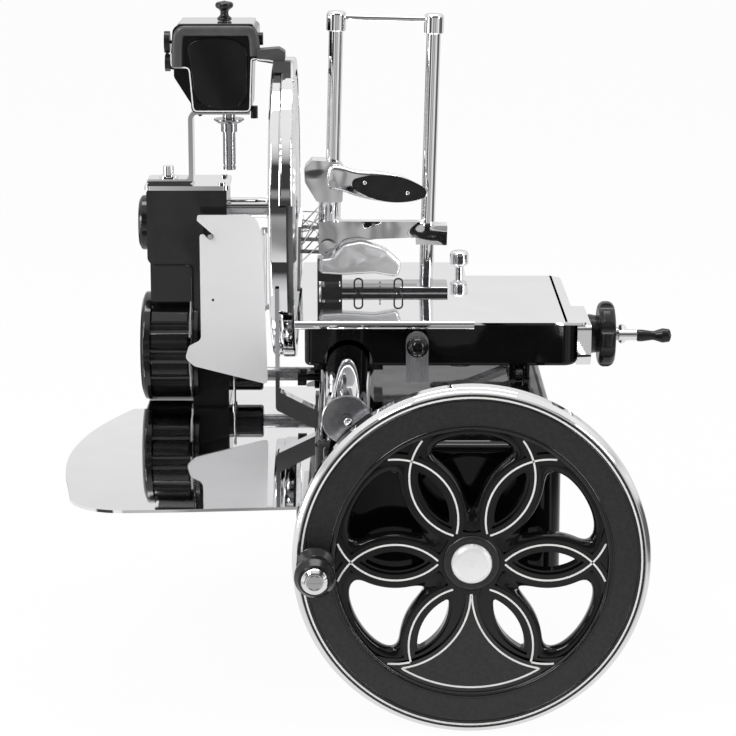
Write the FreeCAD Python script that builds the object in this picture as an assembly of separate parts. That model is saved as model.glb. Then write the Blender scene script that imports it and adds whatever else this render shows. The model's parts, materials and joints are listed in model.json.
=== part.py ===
import FreeCAD, Part
import math
import os

# Hand cranked flywheel meat slicer, modelled in millimetres at its real size.
# +Z is up, +X runs from the slice tray to the feed handwheel, and the operator stands at -Y.
# The origin is the centre of the four mounting bolts, on the underside of the base.

V = FreeCAD.Vector
PARTS_FOLDER = "parts"

# ---- fits and clearances ---------------------------------------------------------------------
RUN_FIT = 0.05          # radial play of a shaft in its bush
SLIDE_GAP = 0.3         # gap between faces that slide past each other
SIDE_GAP = 1.0          # gap beside turning wheels and gears
CHAMFER_TO = 2.5        # turned edges up to this size are chamfered, larger ones are rounded

# ---- main axes -------------------------------------------------------------------------------
FLY_X = 50.0            # flywheel shaft, which runs along Y
FLY_Z = 28.5
BLADE_Y = 158.0         # blade shaft, which runs along X
BLADE_Z = 302.0
CROSS_Z = 108.0         # shaft from the bevel gears to the chain, right below the blade shaft
ROD_X = -73.0           # carriage guide rod, which runs along Y
ROD_Z = 163.0
TABLE_Z = 211.0         # top of the meat table
TRAY_Z = 80.0           # top of the slice tray

# ---- base casting ----------------------------------------------------------------------------
BASE_X0 = -124.0        # left and right walls
BASE_X1 = 142.0
BASE_HALF_Y = 262.0
BASE_TOP = 134.0
BASE_WALL = 7.0
BASE_CORNER = 26.0
BASE_EDGE = 9.0         # rounding of the upper edge
MAIN_LEFT = -105.0      # left wall of the high part, beside the lower ledge
FLANGE_THICK = 6.0
BOLT_IN = 22.0          # mounting bolts, in from the ends and from the left wall
BOLT_X = -BASE_X0 - BOLT_IN + 2
BOLT_Y = BASE_HALF_Y - BOLT_IN
BOLT_R = 5.5
FLANGE_OPEN_X = BOLT_X - 20.0    # half size of the opening in the bottom flange
FLANGE_OPEN_Y = BOLT_Y - 26.0
COVER_THICK = 3.0
COVER_LIP = 8.0
RIB_Y = 70.0            # rib across the casting that carries the rear flywheel bush
RIB_THICK = 12.0
RIB_BOSS_R = 22.0       # bearing boss of the rib
RIB_BOSS_OUT = 8.0
DOME_R = 58.0           # raised dome on the front wall, over the flywheel shaft
DOME_Z = 66.0
DOME_PROUD = 9.0
BOSS_R = 28.0           # bearing boss of the flywheel shaft
BOSS_FRONT = 24.0       # how far the boss stands in front of the wall
ARM_HALF = 15.0         # saddle arms under the guide rod
ARM_THICK = 22.0
ARM_TOP_GAP = 13.0      # arm top below the rod axis
WING_Y0 = 104.0         # bracket that carries the drive column
WING_Y1 = 212.0
WING_DROP = 62.0
RAIL_X = 112.0          # roller rail on the deck
RAIL_HALF = 9.0
RAIL_H = 5.0
RAIL_Y0 = -200.0
RAIL_Y1 = 66.0

DECK_THICK = 1.2        # polished sheet on the deck
DECK_FROM_ROD = 20.0
BUFFER_X0 = -131.0      # round buffer on the base's left wall
BUFFER_X1 = -121.0
BUFFER_R = 10.0
BUFFER_Y = 100.0
BUFFER_Z = 118.0

# ---- slice tray ------------------------------------------------------------------------------
TRAY_THICK = 3.0
TRAY_RIGHT = -106.0
TRAY_AHEAD = 35.0
TRAY_FRONT = -BASE_HALF_Y - TRAY_AHEAD   # at the base; the front edge runs slightly forward from there
TRAY_BACK = 103.7
TRAY_BULGE_X = -383.0   # corner point of the bulged left edge
TRAY_BULGE_Y = -55.0

# ---- drive column ----------------------------------------------------------------------------
COL_X0 = -300.0
COL_X1 = -210.0
COL_HALF_Y = 40.0
COL_TOP = 328.0
COL_WALL = 6.0
NECK_Z = 243.0          # the upper box ends here
NECK_STEP = 3.0
CASE_X0 = -251.0        # left face of the chain case, beside the thickness wheel
RIM_WIDE = 7.0          # raised rim of the chain case round the thickness wheel
THICK_Z = 142.0         # thickness wheel, on the column's left side
THICK_R = 60.0
THICK_X0 = -298.0
THICK_X1 = -254.0
THICK_LOBES = 12
THICK_STUD_R = 9.0
DIAL_R = 62.0
HEAD_ROOM = 8.0         # free space between the dial and the column's head
DIAL_X0 = -309.0
CAP_THICK = 5.0
CAP_OVER = 2.0
UPPER_COVER_R = 31.0
UPPER_COVER_Z = 285.0
COVER_DEPTH = 11.0
TUBE_R = 11.5           # blade shaft housing
TUBE_X1 = -166.0
CROSS_BOSS_R = 19.0
CROSS_BOSS_X1 = -172.0

# ---- shafts, gears and chain -----------------------------------------------------------------
FLY_SHAFT_R = 10.0
CRANK_SHAFT_R = 8.0
CROSS_SHAFT_R = 8.0
BLADE_SHAFT_R = 7.0
BUSH_WALL = 5.0
MODULE = 2.0
PINION_TEETH = 16
WHEEL_TEETH = 40
GEAR_FACE = 0.3         # face width as a share of the cone distance
GEAR_HUB = 8.0
CHAIN_X = -230.0        # middle plane of the chain
CHAIN_THICK = 5.0
CHAIN_WIDE = 8.0
LOW_SPROCKET_TEETH = 30
TOP_SPROCKET_TEETH = 10
CHAIN_PITCH = 6.35
SPROCKET_THICK = 4.0
CRANK_R = 75.0          # throw of the crank
CRANK_THICK = 6.0
CRANK_LIFT = 4.0        # crank arm above the deck
PEDESTAL_X0 = -24.0     # bearing block under the deck for the cross shaft
PEDESTAL_X1 = -6.0
SIDE_BUSH_X0 = MAIN_LEFT - 8
SIDE_BUSH_X1 = MAIN_LEFT + 16
CRANK_PIN_R = 6.0
LINK_THICK = 6.0

# ---- flywheel --------------------------------------------------------------------------------
FLY_R = 170.5           # black casting
FLY_RING_WIDE = 36.5
FLY_RING_IN = FLY_R - FLY_RING_WIDE      # inner edge of the raised ring
FLY_RING_THICK = 26.0
HUB_BEHIND = 5.0        # hub behind the ring
HUB_GAP = 3.0           # hub to the bearing boss
FLY_FACE_Y = -(BASE_HALF_Y + BOSS_FRONT + HUB_GAP + HUB_BEHIND + FLY_RING_THICK)     # face of the ring
FLY_WEB_SINK = 7.0      # web face behind the ring face
FLY_WEB_THICK = 14.0
FLY_RIM_BAND = 6.0
FLY_RIM_R = FLY_R + FLY_RIM_BAND
FLY_RIM_THICK = 28.0
PETAL_CENTRE = 86.5     # the arcs of the rosette are parts of circles this far from the shaft
PETAL_R = 61.5
PETAL_RIB = 8.5         # half width of a rib of the rosette
PETALS = 6
OPEN_CORNER = 5.0
PETAL_CREST = 5.5       # half width of the raised crest of a rib
CREST_SINK = 2.5        # crest behind the ring's face
BELL_SIDE_X = 79.5      # the bell panel's sides are arcs about these centres
BELL_SIDE_DROP = 31.0
BELL_SIDE_R = 79.0
BELL_RING_R = FLY_RING_IN - 5.0
BELL_EDGE = 4.5         # panel edge outside its painted line
BELL_GROOVE = 3.0       # sunk groove round the panel
HUB_R = 28.5
HUB_CAP_R = 20.0
HANDLE_IN = 17.5        # handle pin in from the casting's edge
HANDLE_R = FLY_R - HANDLE_IN
HANDLE_LONG = 58.0
HANDLE_PIN_R = 5.0

# ---- guide rod and carriage ------------------------------------------------------------------
ROD_R = 23.5
ROD_Y0 = -BASE_HALF_Y - 13.0
ROD_Y1 = BASE_HALF_Y + 28.0
ROD_CAP_R = 24.5
ROD_CAP_THICK = 3.0
CAR_X0 = -120.0
CAR_X1 = 174.0
CAR_Y0 = -30.0
CAR_Y1 = 238.0
CAR_BOTTOM = 160.0
CAR_TOP = 205.0
CAR_WALL = 6.0
TUNNEL_GAP = 3.0        # free space between the guide rod and the carriage casting
SLEEVE_WALL = 6.0
SLEEVE_Y0 = -16.0
SLEEVE_Y1 = 118.0
COVER_PLATE = 2.7
END_X1 = 189.0
END_Y1 = 84.0
LINK_PIN_Y = 40.0       # connecting rod pin on the carriage
LINK_PIN_R = 7.0
ROLLER_R = 10.0
ROLLER_WIDE = 10.0
ROLLER_AXLE_R = 3.0
EAR_THICK = 5.0
ROLLER_Y = -10.0
ROLLER_GAP = 0.8        # free play over the rail while the carriage isn't loaded

RELEASE_X = 1.0         # release knob's axis
RELEASE_Z = 188.0
RELEASE_R = 4.0         # its shank
TONGUE_THICK = 6.0
TONGUE_AHEAD = 9.5      # steel tongue in front of the carriage

# ---- meat table and its feed -----------------------------------------------------------------
MEAT_X0 = -129.0
MEAT_X1 = 62.0
MEAT_Y0 = -31.0
MEAT_Y1 = 305.0
MEAT_THICK = 3.0
TABLE_RAIL_R = 4.5
TABLE_RAIL_X1 = 62.0
SCREW_Y = 30.0
SCREW_Z = 183.0
SCREW_R = 7.0
SCREW_X0 = -47.0
NUT_X = -38.0
NUT_LONG = 24.0
NUT_R = 13.0
FEED_TRAVEL = 120.0
NUT_ARM_Z0 = 191.0      # the nut's arm runs under the cover plate to behind the carriage
NUT_ARM_Z1 = 199.0
WHEEL_R = 36.0
WHEEL_LOBES = 8
GRIP_OFFSET = 9.0
GRIP_PIN_R = 2.5
TABLE_STUD_R = 3.0
TABLE_STUD_H = 19.0
TABLE_KNOB_X = 55.0
TABLE_KNOB_Y = 236.0

# ---- meat holder -----------------------------------------------------------------------------
POST_Y = 150.0
POST_R = 8.0
POST_LEFT_X = -95.0
POST_RIGHT_X = 14.0
POST_TOP = 515.0
POST_LEAN = 1.5         # degrees
HANDLE_PIVOT_Z = 335.0  # pivot of the clamp handle
HANDLE_PIVOT_R = 4.0
PEAR_PIVOT_Z = 243.0    # pivot of the pear shaped lever
PEAR_PIVOT_R = 3.5
BAR_H = 7.5
WIRE = 1.8              # wire of the two loops on the bar
LOOP_WIDE = 11.0

# ---- blade and guard -------------------------------------------------------------------------
BLADE_R = 150.0
BLADE_X1 = -133.0       # cutting face
BLADE_THICK = 4.0
GUARD_LIP = 20.0        # guard outside the blade's edge
GUARD_R = BLADE_R + GUARD_LIP
GUARD_RING = 13.0       # width of the ring round the blade
GUARD_X0 = -148.0
GUARD_X1 = -132.5
GUARD_WALL = 3.0
GUARD_CUT_FROM = 170.0  # open sector of the guard, degrees from +Y towards +Z
GUARD_CUT_TO = 214.0
LIP_WALL = 5.0          # lip of the cover in the guard's gap
LIP_BACK = 6.5          # lip behind the cutting face
DISC_X0 = -161.0
STRAP_X = -148.0
STRAP_Y = -4.0
STRAP_WIDE = 20.0

# ---- slice deflector -------------------------------------------------------------------------
DEFLECT_Y = 88.0
DEFLECT_THICK = 2.0
HINGE_PIN_R = 1.5
HINGE_ARM = 6.0         # height of the bracket's arms
HINGE_X = -168.0        # upright hinge behind the deflector's right edge
HINGE_Y = 92.5
HINGE_R = 3.5
HINGE_Z0 = 202.0
HINGE_Z1 = 282.0
PIN_X = -227.0          # pin on the column that the deflector's hook rests on
PIN_Z = 281.0
PIN_R = 3.0
STAY_X = -203.0
STAY_Y = 112.0
STAY_TOP = 124.0

# ---- sharpener -------------------------------------------------------------------------------
SHARP_X1 = -174.0       # right side of the housing
SHARP_Y = 150.0
SHARP_HALF_Y = 40.0
SHARP_DROP = 56.0       # underside of the housing below the guard's top
SHARP_BOTTOM = BLADE_Z + GUARD_R - SHARP_DROP
SHARP_HIGH = 95.0
SHARP_STEP = 48.0       # left step of the housing, from its underside
SHARP_SHOULDER = 58.0   # right shoulder
SHARP_TOP = SHARP_BOTTOM + SHARP_HIGH
FRAME_PROUD = 2.0       # frame above the housing's top
LID_TOP = SHARP_TOP + 3.0
SPINDLE_X = -208.0
SPINDLE_R = 7.0
SPINDLE_TOP = SHARP_BOTTOM + 72.0
SHANK_DROP = 69.0       # the stone's shank below the housing
KNOB_X = -211.7
STEM_R = 3.0
STUD_R = 2.0            # the trigger's pivot
PLUNGER_TRAVEL = 6.0
TRIGGER_Y = 125.0
TRIGGER_Z = SHARP_BOTTOM + 77.0
TRIGGER_DROP = 23.0     # lower plate of the trigger below its pivot


# ---- helpers ---------------------------------------------------------------------------------
def box(x0, x1, y0, y1, z0, z1):
    return Part.makeBox(x1 - x0, y1 - y0, z1 - z0, V(x0, y0, z0))


def rod_x(radius, x0, x1, y, z):
    return Part.makeCylinder(radius, x1 - x0, V(x0, y, z), V(1, 0, 0))


def rod_y(radius, y0, y1, x, z):
    return Part.makeCylinder(radius, y1 - y0, V(x, y0, z), V(0, 1, 0))


def rod_z(radius, z0, z1, x, y):
    return Part.makeCylinder(radius, z1 - z0, V(x, y, z0), V(0, 0, 1))


def corner_arc(before, corner, after, radius):
    """Tangent arc of one corner: its start, middle and end."""
    to_before = (before - corner).normalize()
    to_after = (after - corner).normalize()
    half = to_before.getAngle(to_after) / 2
    run = radius / math.tan(half)
    bisector = (to_before + to_after).normalize()
    centre = corner + bisector * (radius / math.sin(half))
    start = corner + to_before * run
    end = corner + to_after * run
    return start, centre - bisector * radius, end


def outline(points, radii, chamfer_to=0.0):
    """Closed wire through 3-D points, with one corner radius for each; small ones become chamfers."""
    edges = []
    count = len(points)
    ends = []
    for i in range(count):
        if radii[i] > 0:
            ends.append(corner_arc(points[i - 1], points[i], points[(i + 1) % count], radii[i]))
        else:
            ends.append((points[i], None, points[i]))
    for i in range(count):
        start, middle, end = ends[i]
        if middle is not None and radii[i] <= chamfer_to:
            edges.append(Part.LineSegment(start, end).toShape())
        elif middle is not None:
            edges.append(Part.Arc(start, middle, end).toShape())
        following = ends[(i + 1) % count][0]
        if (following - end).Length > 1e-4:
            edges.append(Part.LineSegment(end, following).toShape())
    return Part.Wire(edges)


def spread(radii, count):
    return list(radii) if isinstance(radii, (list, tuple)) else [radii] * count


def prism_z(points, radii, z0, z1):
    """Plate with its outline in X and Y."""
    wire = outline([V(x, y, z0) for x, y in points], spread(radii, len(points)))
    return Part.Face(wire).extrude(V(0, 0, z1 - z0))


def prism_y(points, radii, y0, y1):
    """Plate with its outline in X and Z."""
    wire = outline([V(x, y0, z) for x, z in points], spread(radii, len(points)))
    return Part.Face(wire).extrude(V(0, y1 - y0, 0))


def prism_x(points, radii, x0, x1):
    """Plate with its outline in Y and Z."""
    wire = outline([V(x0, y, z) for y, z in points], spread(radii, len(points)))
    return Part.Face(wire).extrude(V(x1 - x0, 0, 0))


def turned(points, radii, origin, axis):
    """Solid of revolution. Points are (radius, distance along the axis)."""
    across = V(0, 1, 0) if axis.x else V(1, 0, 0)
    spots = [origin + across * r + axis * t for r, t in points]
    face = Part.Face(outline(spots, spread(radii, len(points)), CHAMFER_TO))
    return face.revolve(origin, axis, 360)


def block_corners(x0, x1, y0, y1):
    return [(x0, y0), (x1, y0), (x1, y1), (x0, y1)]


def fuse(shapes):
    return shapes[0].multiFuse(shapes[1:]).removeSplitter()


def tube_x(outer, inner, x0, x1, y, z):
    return rod_x(outer, x0, x1, y, z).cut(rod_x(inner, x0, x1, y, z))


def tube_y(outer, inner, y0, y1, x, z):
    return rod_y(outer, y0, y1, x, z).cut(rod_y(inner, y0, y1, x, z))


def tube_z(outer, inner, z0, z1, x, y):
    return rod_z(outer, z0, z1, x, y).cut(rod_z(inner, z0, z1, x, y))


def edges_where(shape, test):
    return [edge for edge in shape.Edges if test(edge)]


def save(name, shapes):
    whole = shapes[0] if len(shapes) == 1 else Part.makeCompound(shapes)
    whole.exportStep(os.path.join(PARTS_FOLDER, name + ".step"))


# ---- gears -----------------------------------------------------------------------------------
def tooth_outline(teeth, pitch_r, addendum, dedendum, phase, height):
    """Toothed outline in the XY plane at a height, with one tooth centred at the phase angle."""
    step = 2 * math.pi / teeth
    root, tip = pitch_r - dedendum, pitch_r + addendum
    root_half, tip_half = step * 0.24, step * 0.10
    spots = []
    for i in range(teeth):
        middle = phase + i * step
        for radius, angle in ((root, -root_half), (tip, -tip_half), (tip, tip_half), (root, root_half)):
            spots.append(V(radius * math.cos(middle + angle), radius * math.sin(middle + angle), height))
    return Part.makePolygon(spots + [spots[0]])


def bevel_gear(teeth, mate_teeth, bore, phase):
    """Straight bevel gear about +Z with the cone's tip at the origin."""
    pitch_r = MODULE * teeth / 2
    back = MODULE * mate_teeth / 2
    small = 1 - GEAR_FACE
    slope = mate_teeth / math.hypot(teeth, mate_teeth)
    addendum, dedendum = 0.8 * MODULE / slope, 1.1 * MODULE / slope
    wide = tooth_outline(teeth, pitch_r, addendum, dedendum, phase, back)
    narrow = tooth_outline(teeth, pitch_r * small, addendum * small, dedendum * small, phase, back * small)
    toothed = Part.makeLoft([narrow, wide], True, True)
    hub = Part.makeCylinder(pitch_r - 2 * dedendum, GEAR_HUB, V(0, 0, back))
    hole = Part.makeCylinder(bore, back + 2 * GEAR_HUB, V(0, 0, 0))
    return fuse([toothed, hub]).cut(hole)


def turn_to(shape, axis, origin):
    """Turns a shape from +Z to the given axis, then moves it to the origin given."""
    placed = shape.copy()
    placed.Placement = FreeCAD.Placement(origin, FreeCAD.Rotation(V(0, 0, 1), axis))
    return placed


def sprocket(teeth, bore):
    """Chain wheel about +X, with its middle plane at the origin."""
    pitch_r = CHAIN_PITCH * teeth / (2 * math.pi)
    profile = tooth_outline(teeth, pitch_r, -0.6, 3.0, 0.0, -SPROCKET_THICK / 2)
    wheel = Part.Face(profile).extrude(V(0, 0, SPROCKET_THICK))
    hub = Part.makeCylinder(bore + 4, 2 * SPROCKET_THICK, V(0, 0, -SPROCKET_THICK))
    hole = Part.makeCylinder(bore, 4 * SPROCKET_THICK, V(0, 0, -2 * SPROCKET_THICK))
    solid = wheel.fuse(hub) if bore + 4 < pitch_r - 3 else wheel
    return solid.cut(hole)


def sprocket_r(teeth):
    return CHAIN_PITCH * teeth / (2 * math.pi)


# ---- base ------------------------------------------------------------------------------------
def base_shell():
    high = prism_z(block_corners(MAIN_LEFT, BASE_X1, -BASE_HALF_Y, BASE_HALF_Y), BASE_CORNER, 0, BASE_TOP)
    top = edges_where(high, lambda e: abs(e.CenterOfMass.z - BASE_TOP) < 0.01)
    high = high.makeFillet(BASE_EDGE, top)
    ledge_top = TRAY_Z - TRAY_THICK
    ledge = prism_z(
        block_corners(BASE_X0, MAIN_LEFT + BASE_CORNER * 2, -BASE_HALF_Y, BASE_HALF_Y), BASE_CORNER, 0,
        ledge_top,
    )
    hollow = prism_z(
        block_corners(
            MAIN_LEFT + BASE_WALL, BASE_X1 - BASE_WALL, -BASE_HALF_Y + BASE_WALL, BASE_HALF_Y - BASE_WALL
        ),
        BASE_CORNER - BASE_WALL,
        FLANGE_THICK,
        BASE_TOP - BASE_WALL,
    )
    low_hollow = prism_z(
        block_corners(
            BASE_X0 + BASE_WALL, MAIN_LEFT + BASE_CORNER * 2, -BASE_HALF_Y + BASE_WALL,
            BASE_HALF_Y - BASE_WALL,
        ),
        BASE_CORNER - BASE_WALL,
        FLANGE_THICK,
        ledge_top - BASE_WALL,
    )
    opening = prism_z(
        block_corners(-FLANGE_OPEN_X, FLANGE_OPEN_X, -FLANGE_OPEN_Y, FLANGE_OPEN_Y), BASE_CORNER, 0,
        FLANGE_THICK,
    )
    return high.fuse(ledge).cut(hollow).cut(low_hollow).cut(opening)


def base_bosses():
    """Everything that stands on the shell: dome, bearing bosses, rib, saddle arms, rail and bracket."""
    wall = -BASE_HALF_Y
    dome = rod_y(DOME_R, wall - DOME_PROUD, wall + BASE_WALL, FLY_X, DOME_Z)
    dome_foot = box(FLY_X - DOME_R, FLY_X + DOME_R, wall - DOME_PROUD, wall + BASE_WALL, 0, DOME_Z)
    boss = rod_y(BOSS_R, wall - BOSS_FRONT, wall + BOSS_FRONT, FLY_X, FLY_Z)
    inner_left = MAIN_LEFT + BASE_WALL
    inner_right = BASE_X1 - BASE_WALL
    rib = box(inner_left, inner_right, RIB_Y, RIB_Y + RIB_THICK, FLANGE_THICK, BASE_TOP - BASE_WALL)
    rib_hole = box(inner_left + 30, FLY_X - 40, RIB_Y, RIB_Y + RIB_THICK, 34, 96)
    rib_boss = rod_y(RIB_BOSS_R, RIB_Y - RIB_BOSS_OUT, RIB_Y + RIB_THICK + RIB_BOSS_OUT, FLY_X, FLY_Z)
    pedestal = box(PEDESTAL_X0, PEDESTAL_X1, BLADE_Y - 16, BLADE_Y + 16, CROSS_Z - 14, BASE_TOP - BASE_WALL)
    wall_boss = rod_x(CROSS_SHAFT_R + BUSH_WALL + 4, SIDE_BUSH_X0, SIDE_BUSH_X1, BLADE_Y, CROSS_Z)
    buffer = rod_x(BUFFER_R, BUFFER_X0, BUFFER_X1, BUFFER_Y, BUFFER_Z)
    buffer_stem = rod_x(4, BUFFER_X1, MAIN_LEFT + 2, BUFFER_Y, BUFFER_Z)
    rail = box(RAIL_X - RAIL_HALF, RAIL_X + RAIL_HALF, RAIL_Y0, RAIL_Y1, BASE_TOP - 1, BASE_TOP + RAIL_H)
    return [
        dome, dome_foot, boss, rib.cut(rib_hole), rib_boss, pedestal, wall_boss, rail, buffer,
        buffer_stem,
    ] + saddle_arms() + [column_bracket()]


def saddle_arms():
    """Two arms that carry the guide rod near its ends."""
    arms = []
    top = ROD_Z - ARM_TOP_GAP
    for y0 in (-BASE_HALF_Y, BASE_HALF_Y - ARM_THICK):
        points = [(ROD_X - 26, 40), (ROD_X + 34, 40), (ROD_X + ARM_HALF, top), (ROD_X - ARM_HALF, top)]
        arms.append(prism_y(points, [0, 0, 3, 3], y0, y0 + ARM_THICK))
    return arms


def column_bracket():
    """Arm of the base under the drive column; its top is one tray's thickness lower beside the column."""
    under_tray = TRAY_Z - TRAY_THICK
    points = [
        (COL_X0 - 4, TRAY_Z),
        (COL_X0 - 4, WING_DROP),
        (BASE_X0, 16),
        (BASE_X0 + BASE_WALL, 16),
        (BASE_X0 + BASE_WALL, under_tray - BASE_WALL),
        (MAIN_LEFT, under_tray - BASE_WALL),
        (MAIN_LEFT, under_tray),
        (COL_X1, under_tray),
        (COL_X1, TRAY_Z),
    ]
    return prism_y(points, [3, 10, 0, 0, 0, 0, 0, 0, 0], WING_Y0, WING_Y1)


def base_casting():
    body = fuse([base_shell()] + base_bosses())
    guide = rod_y(ROD_R, ROD_Y0, ROD_Y1, ROD_X, ROD_Z)
    bush_r = FLY_SHAFT_R + BUSH_WALL
    cuts = [
        guide,
        rod_y(bush_r, -BASE_HALF_Y - BOSS_FRONT, -BASE_HALF_Y + BOSS_FRONT, FLY_X, FLY_Z),
        rod_y(bush_r, RIB_Y - RIB_BOSS_OUT, RIB_Y + RIB_THICK + RIB_BOSS_OUT, FLY_X, FLY_Z),
        rod_z(CRANK_SHAFT_R + BUSH_WALL, BASE_TOP - 2 * BASE_WALL, BASE_TOP + 1, FLY_X, BLADE_Y),
        rod_x(CROSS_SHAFT_R + BUSH_WALL, SIDE_BUSH_X0, SIDE_BUSH_X1, BLADE_Y, CROSS_Z),
        rod_x(CROSS_SHAFT_R + RUN_FIT, PEDESTAL_X0, PEDESTAL_X1, BLADE_Y, CROSS_Z),
        box(CASE_X0 + 5, COL_X1 - COL_WALL, BLADE_Y - 34, BLADE_Y + 34, WING_DROP + 6, TRAY_Z),
        rod_x(DIAL_R + 2, COL_X0 - 20, CASE_X0, BLADE_Y, THICK_Z),
        cover_outline(0, COVER_THICK),
    ]
    for x in (-BOLT_X, BOLT_X):
        for y in (-BOLT_Y, BOLT_Y):
            cuts.append(rod_z(BOLT_R, 0, FLANGE_THICK, x, y))
            cuts.append(rod_z(BOLT_R * 2, FLANGE_THICK, FLANGE_THICK + 8, x, y))
    return body.cut(Part.makeCompound(cuts))


def deck_plate():
    """Polished sheet on the base's deck, with room for the roller's rail and the crank's hub."""
    edge = BASE_EDGE + SIDE_GAP
    corners = block_corners(ROD_X + DECK_FROM_ROD, BASE_X1 - edge, -BASE_HALF_Y + edge, BASE_HALF_Y - edge)
    sheet = prism_z(corners, BASE_CORNER - edge, BASE_TOP, BASE_TOP + DECK_THICK)
    over = SIDE_GAP + RAIL_HALF
    rail_room = box(
        RAIL_X - over, RAIL_X + over, RAIL_Y0 - SIDE_GAP, RAIL_Y1 + SIDE_GAP, BASE_TOP,
        BASE_TOP + DECK_THICK,
    )
    hub_r = CRANK_SHAFT_R + BUSH_WALL + SIDE_GAP
    return sheet.cut(rail_room).cut(rod_z(hub_r, BASE_TOP, BASE_TOP + DECK_THICK, FLY_X, BLADE_Y))


def cover_outline(z0, z1):
    half_x = FLANGE_OPEN_X + COVER_LIP
    half_y = FLANGE_OPEN_Y + COVER_LIP
    return prism_z(block_corners(-half_x, half_x, -half_y, half_y), BASE_CORNER, z0, z1)


def base_cover():
    plate = cover_outline(0, COVER_THICK)
    step = rod_z(CRANK_SHAFT_R + BUSH_WALL, COVER_THICK, COVER_THICK + 10, FLY_X, BLADE_Y)
    socket = rod_z(CRANK_SHAFT_R + RUN_FIT, COVER_THICK + 3, COVER_THICK + 10, FLY_X, BLADE_Y)
    return plate.fuse(step).cut(socket)


def receiving_tray():
    """Mirror plate beside the base, with a tongue that runs back between base and column."""
    tongue_x = COL_X1 + SLIDE_GAP
    points = [
        (TRAY_RIGHT, TRAY_FRONT),
        (TRAY_RIGHT - 134, TRAY_FRONT - 11.5),
        (TRAY_BULGE_X + 42, TRAY_FRONT - 16),
        (TRAY_BULGE_X, TRAY_BULGE_Y),
        (COL_X0 - 17, TRAY_BACK),
        (tongue_x, TRAY_BACK),
        (tongue_x, WING_Y1),
        (TRAY_RIGHT, WING_Y1),
    ]
    radii = [0, 600, 55, 480, 4, 0, 2, 0]
    plate = prism_z(points, radii, TRAY_Z - TRAY_THICK, TRAY_Z)
    return plate.cut(rod_y(FLY_RIM_R + 2, FLY_FACE_Y, FLY_FACE_Y + FLY_RING_THICK + 8, FLY_X, FLY_Z))


# ---- drive column ----------------------------------------------------------------------------
def drive_column():
    y0, y1 = BLADE_Y - COL_HALF_Y, BLADE_Y + COL_HALF_Y
    upper = prism_y(
        [(COL_X0, NECK_Z), (COL_X1, NECK_Z), (COL_X1, COL_TOP), (COL_X0, COL_TOP)], [9, 0, 0, 3], y0, y1
    )
    head = box(COL_X0 + NECK_STEP, COL_X1, y0 + 2, y1 - 2, THICK_Z, NECK_Z + 12)
    case = box(CASE_X0, COL_X1, y0 + 2, y1 - 2, TRAY_Z, NECK_Z + 12)
    rim = rod_x(DIAL_R + 1, CASE_X0, CASE_X0 + RIM_WIDE, BLADE_Y, THICK_Z)
    rim = rim.common(box(CASE_X0, COL_X1, 0, 2 * BLADE_Y, TRAY_Z, NECK_Z))
    stud = rod_x(THICK_STUD_R, THICK_X0 - 2, CASE_X0 + 2, BLADE_Y, THICK_Z)
    recess = rod_x(DIAL_R + HEAD_ROOM, COL_X0 - 20, CASE_X0, BLADE_Y, THICK_Z)
    inner_y0, inner_y1 = y0 + COL_WALL, y1 - COL_WALL
    inside = [
        box(COL_X0 + 9, COL_X1 - COL_WALL, inner_y0, inner_y1, NECK_Z + 12, COL_TOP - COL_WALL),
        box(CASE_X0 + 5, COL_X1 - COL_WALL, inner_y0, inner_y1, TRAY_Z, NECK_Z + 20),
    ]
    bores = [
        rod_x(BLADE_SHAFT_R + RUN_FIT, COL_X0 + 9, COL_X1, BLADE_Y, BLADE_Z),
        rod_x(CROSS_SHAFT_R + RUN_FIT, CHAIN_X, CROSS_BOSS_X1, BLADE_Y, CROSS_Z),
    ]
    solid = fuse([upper, head.cut(recess), case, rim, stud, cross_shaft_boss()])
    return solid.cut(Part.makeCompound(inside + bores))


def thickness_wheel():
    """Lobed hand wheel on a stud of the column: it sets the thickness of the slices."""
    drum = rod_x(THICK_R, THICK_X0, THICK_X1, BLADE_Y, THICK_Z)
    edge = edges_where(drum, lambda e: e.Length > THICK_R * 6)
    drum = drum.makeChamfer(2, edge)
    notches = []
    for i in range(THICK_LOBES):
        angle = 2 * math.pi * i / THICK_LOBES
        y = BLADE_Y + (THICK_R + 5) * math.cos(angle)
        z = THICK_Z + (THICK_R + 5) * math.sin(angle)
        notches.append(rod_x(11, THICK_X0, THICK_X1, y, z))
    bore = rod_x(THICK_STUD_R + RUN_FIT, THICK_X0, THICK_X1, BLADE_Y, THICK_Z)
    return drum.cut(Part.makeCompound(notches + [bore]))


def thickness_dial():
    """Smooth flange on the outer face of the thickness wheel."""
    wide = THICK_X0 - DIAL_X0
    points = [
        (0, 3), (12, 3), (12, 0), (DIAL_R, 0), (DIAL_R, wide - 3), (DIAL_R - 7, wide),
        (DIAL_R * 0.6, wide), (DIAL_R * 0.5, wide - 3), (0, wide - 3),
    ]
    disc = turned(points, [0, 0, 0, 0, 3, 2, 2, 3, 0], V(THICK_X0, BLADE_Y, THICK_Z), V(-1, 0, 0))
    return disc.fuse(rod_x(5, DIAL_X0 - 1, DIAL_X0 + 5, BLADE_Y, THICK_Z))


def column_cap():
    y0, y1 = BLADE_Y - COL_HALF_Y - CAP_OVER, BLADE_Y + COL_HALF_Y + CAP_OVER
    return prism_z(
        block_corners(COL_X0 - CAP_OVER, COL_X1 + CAP_OVER, y0, y1), 6, COL_TOP, COL_TOP + CAP_THICK,
    )


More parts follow.
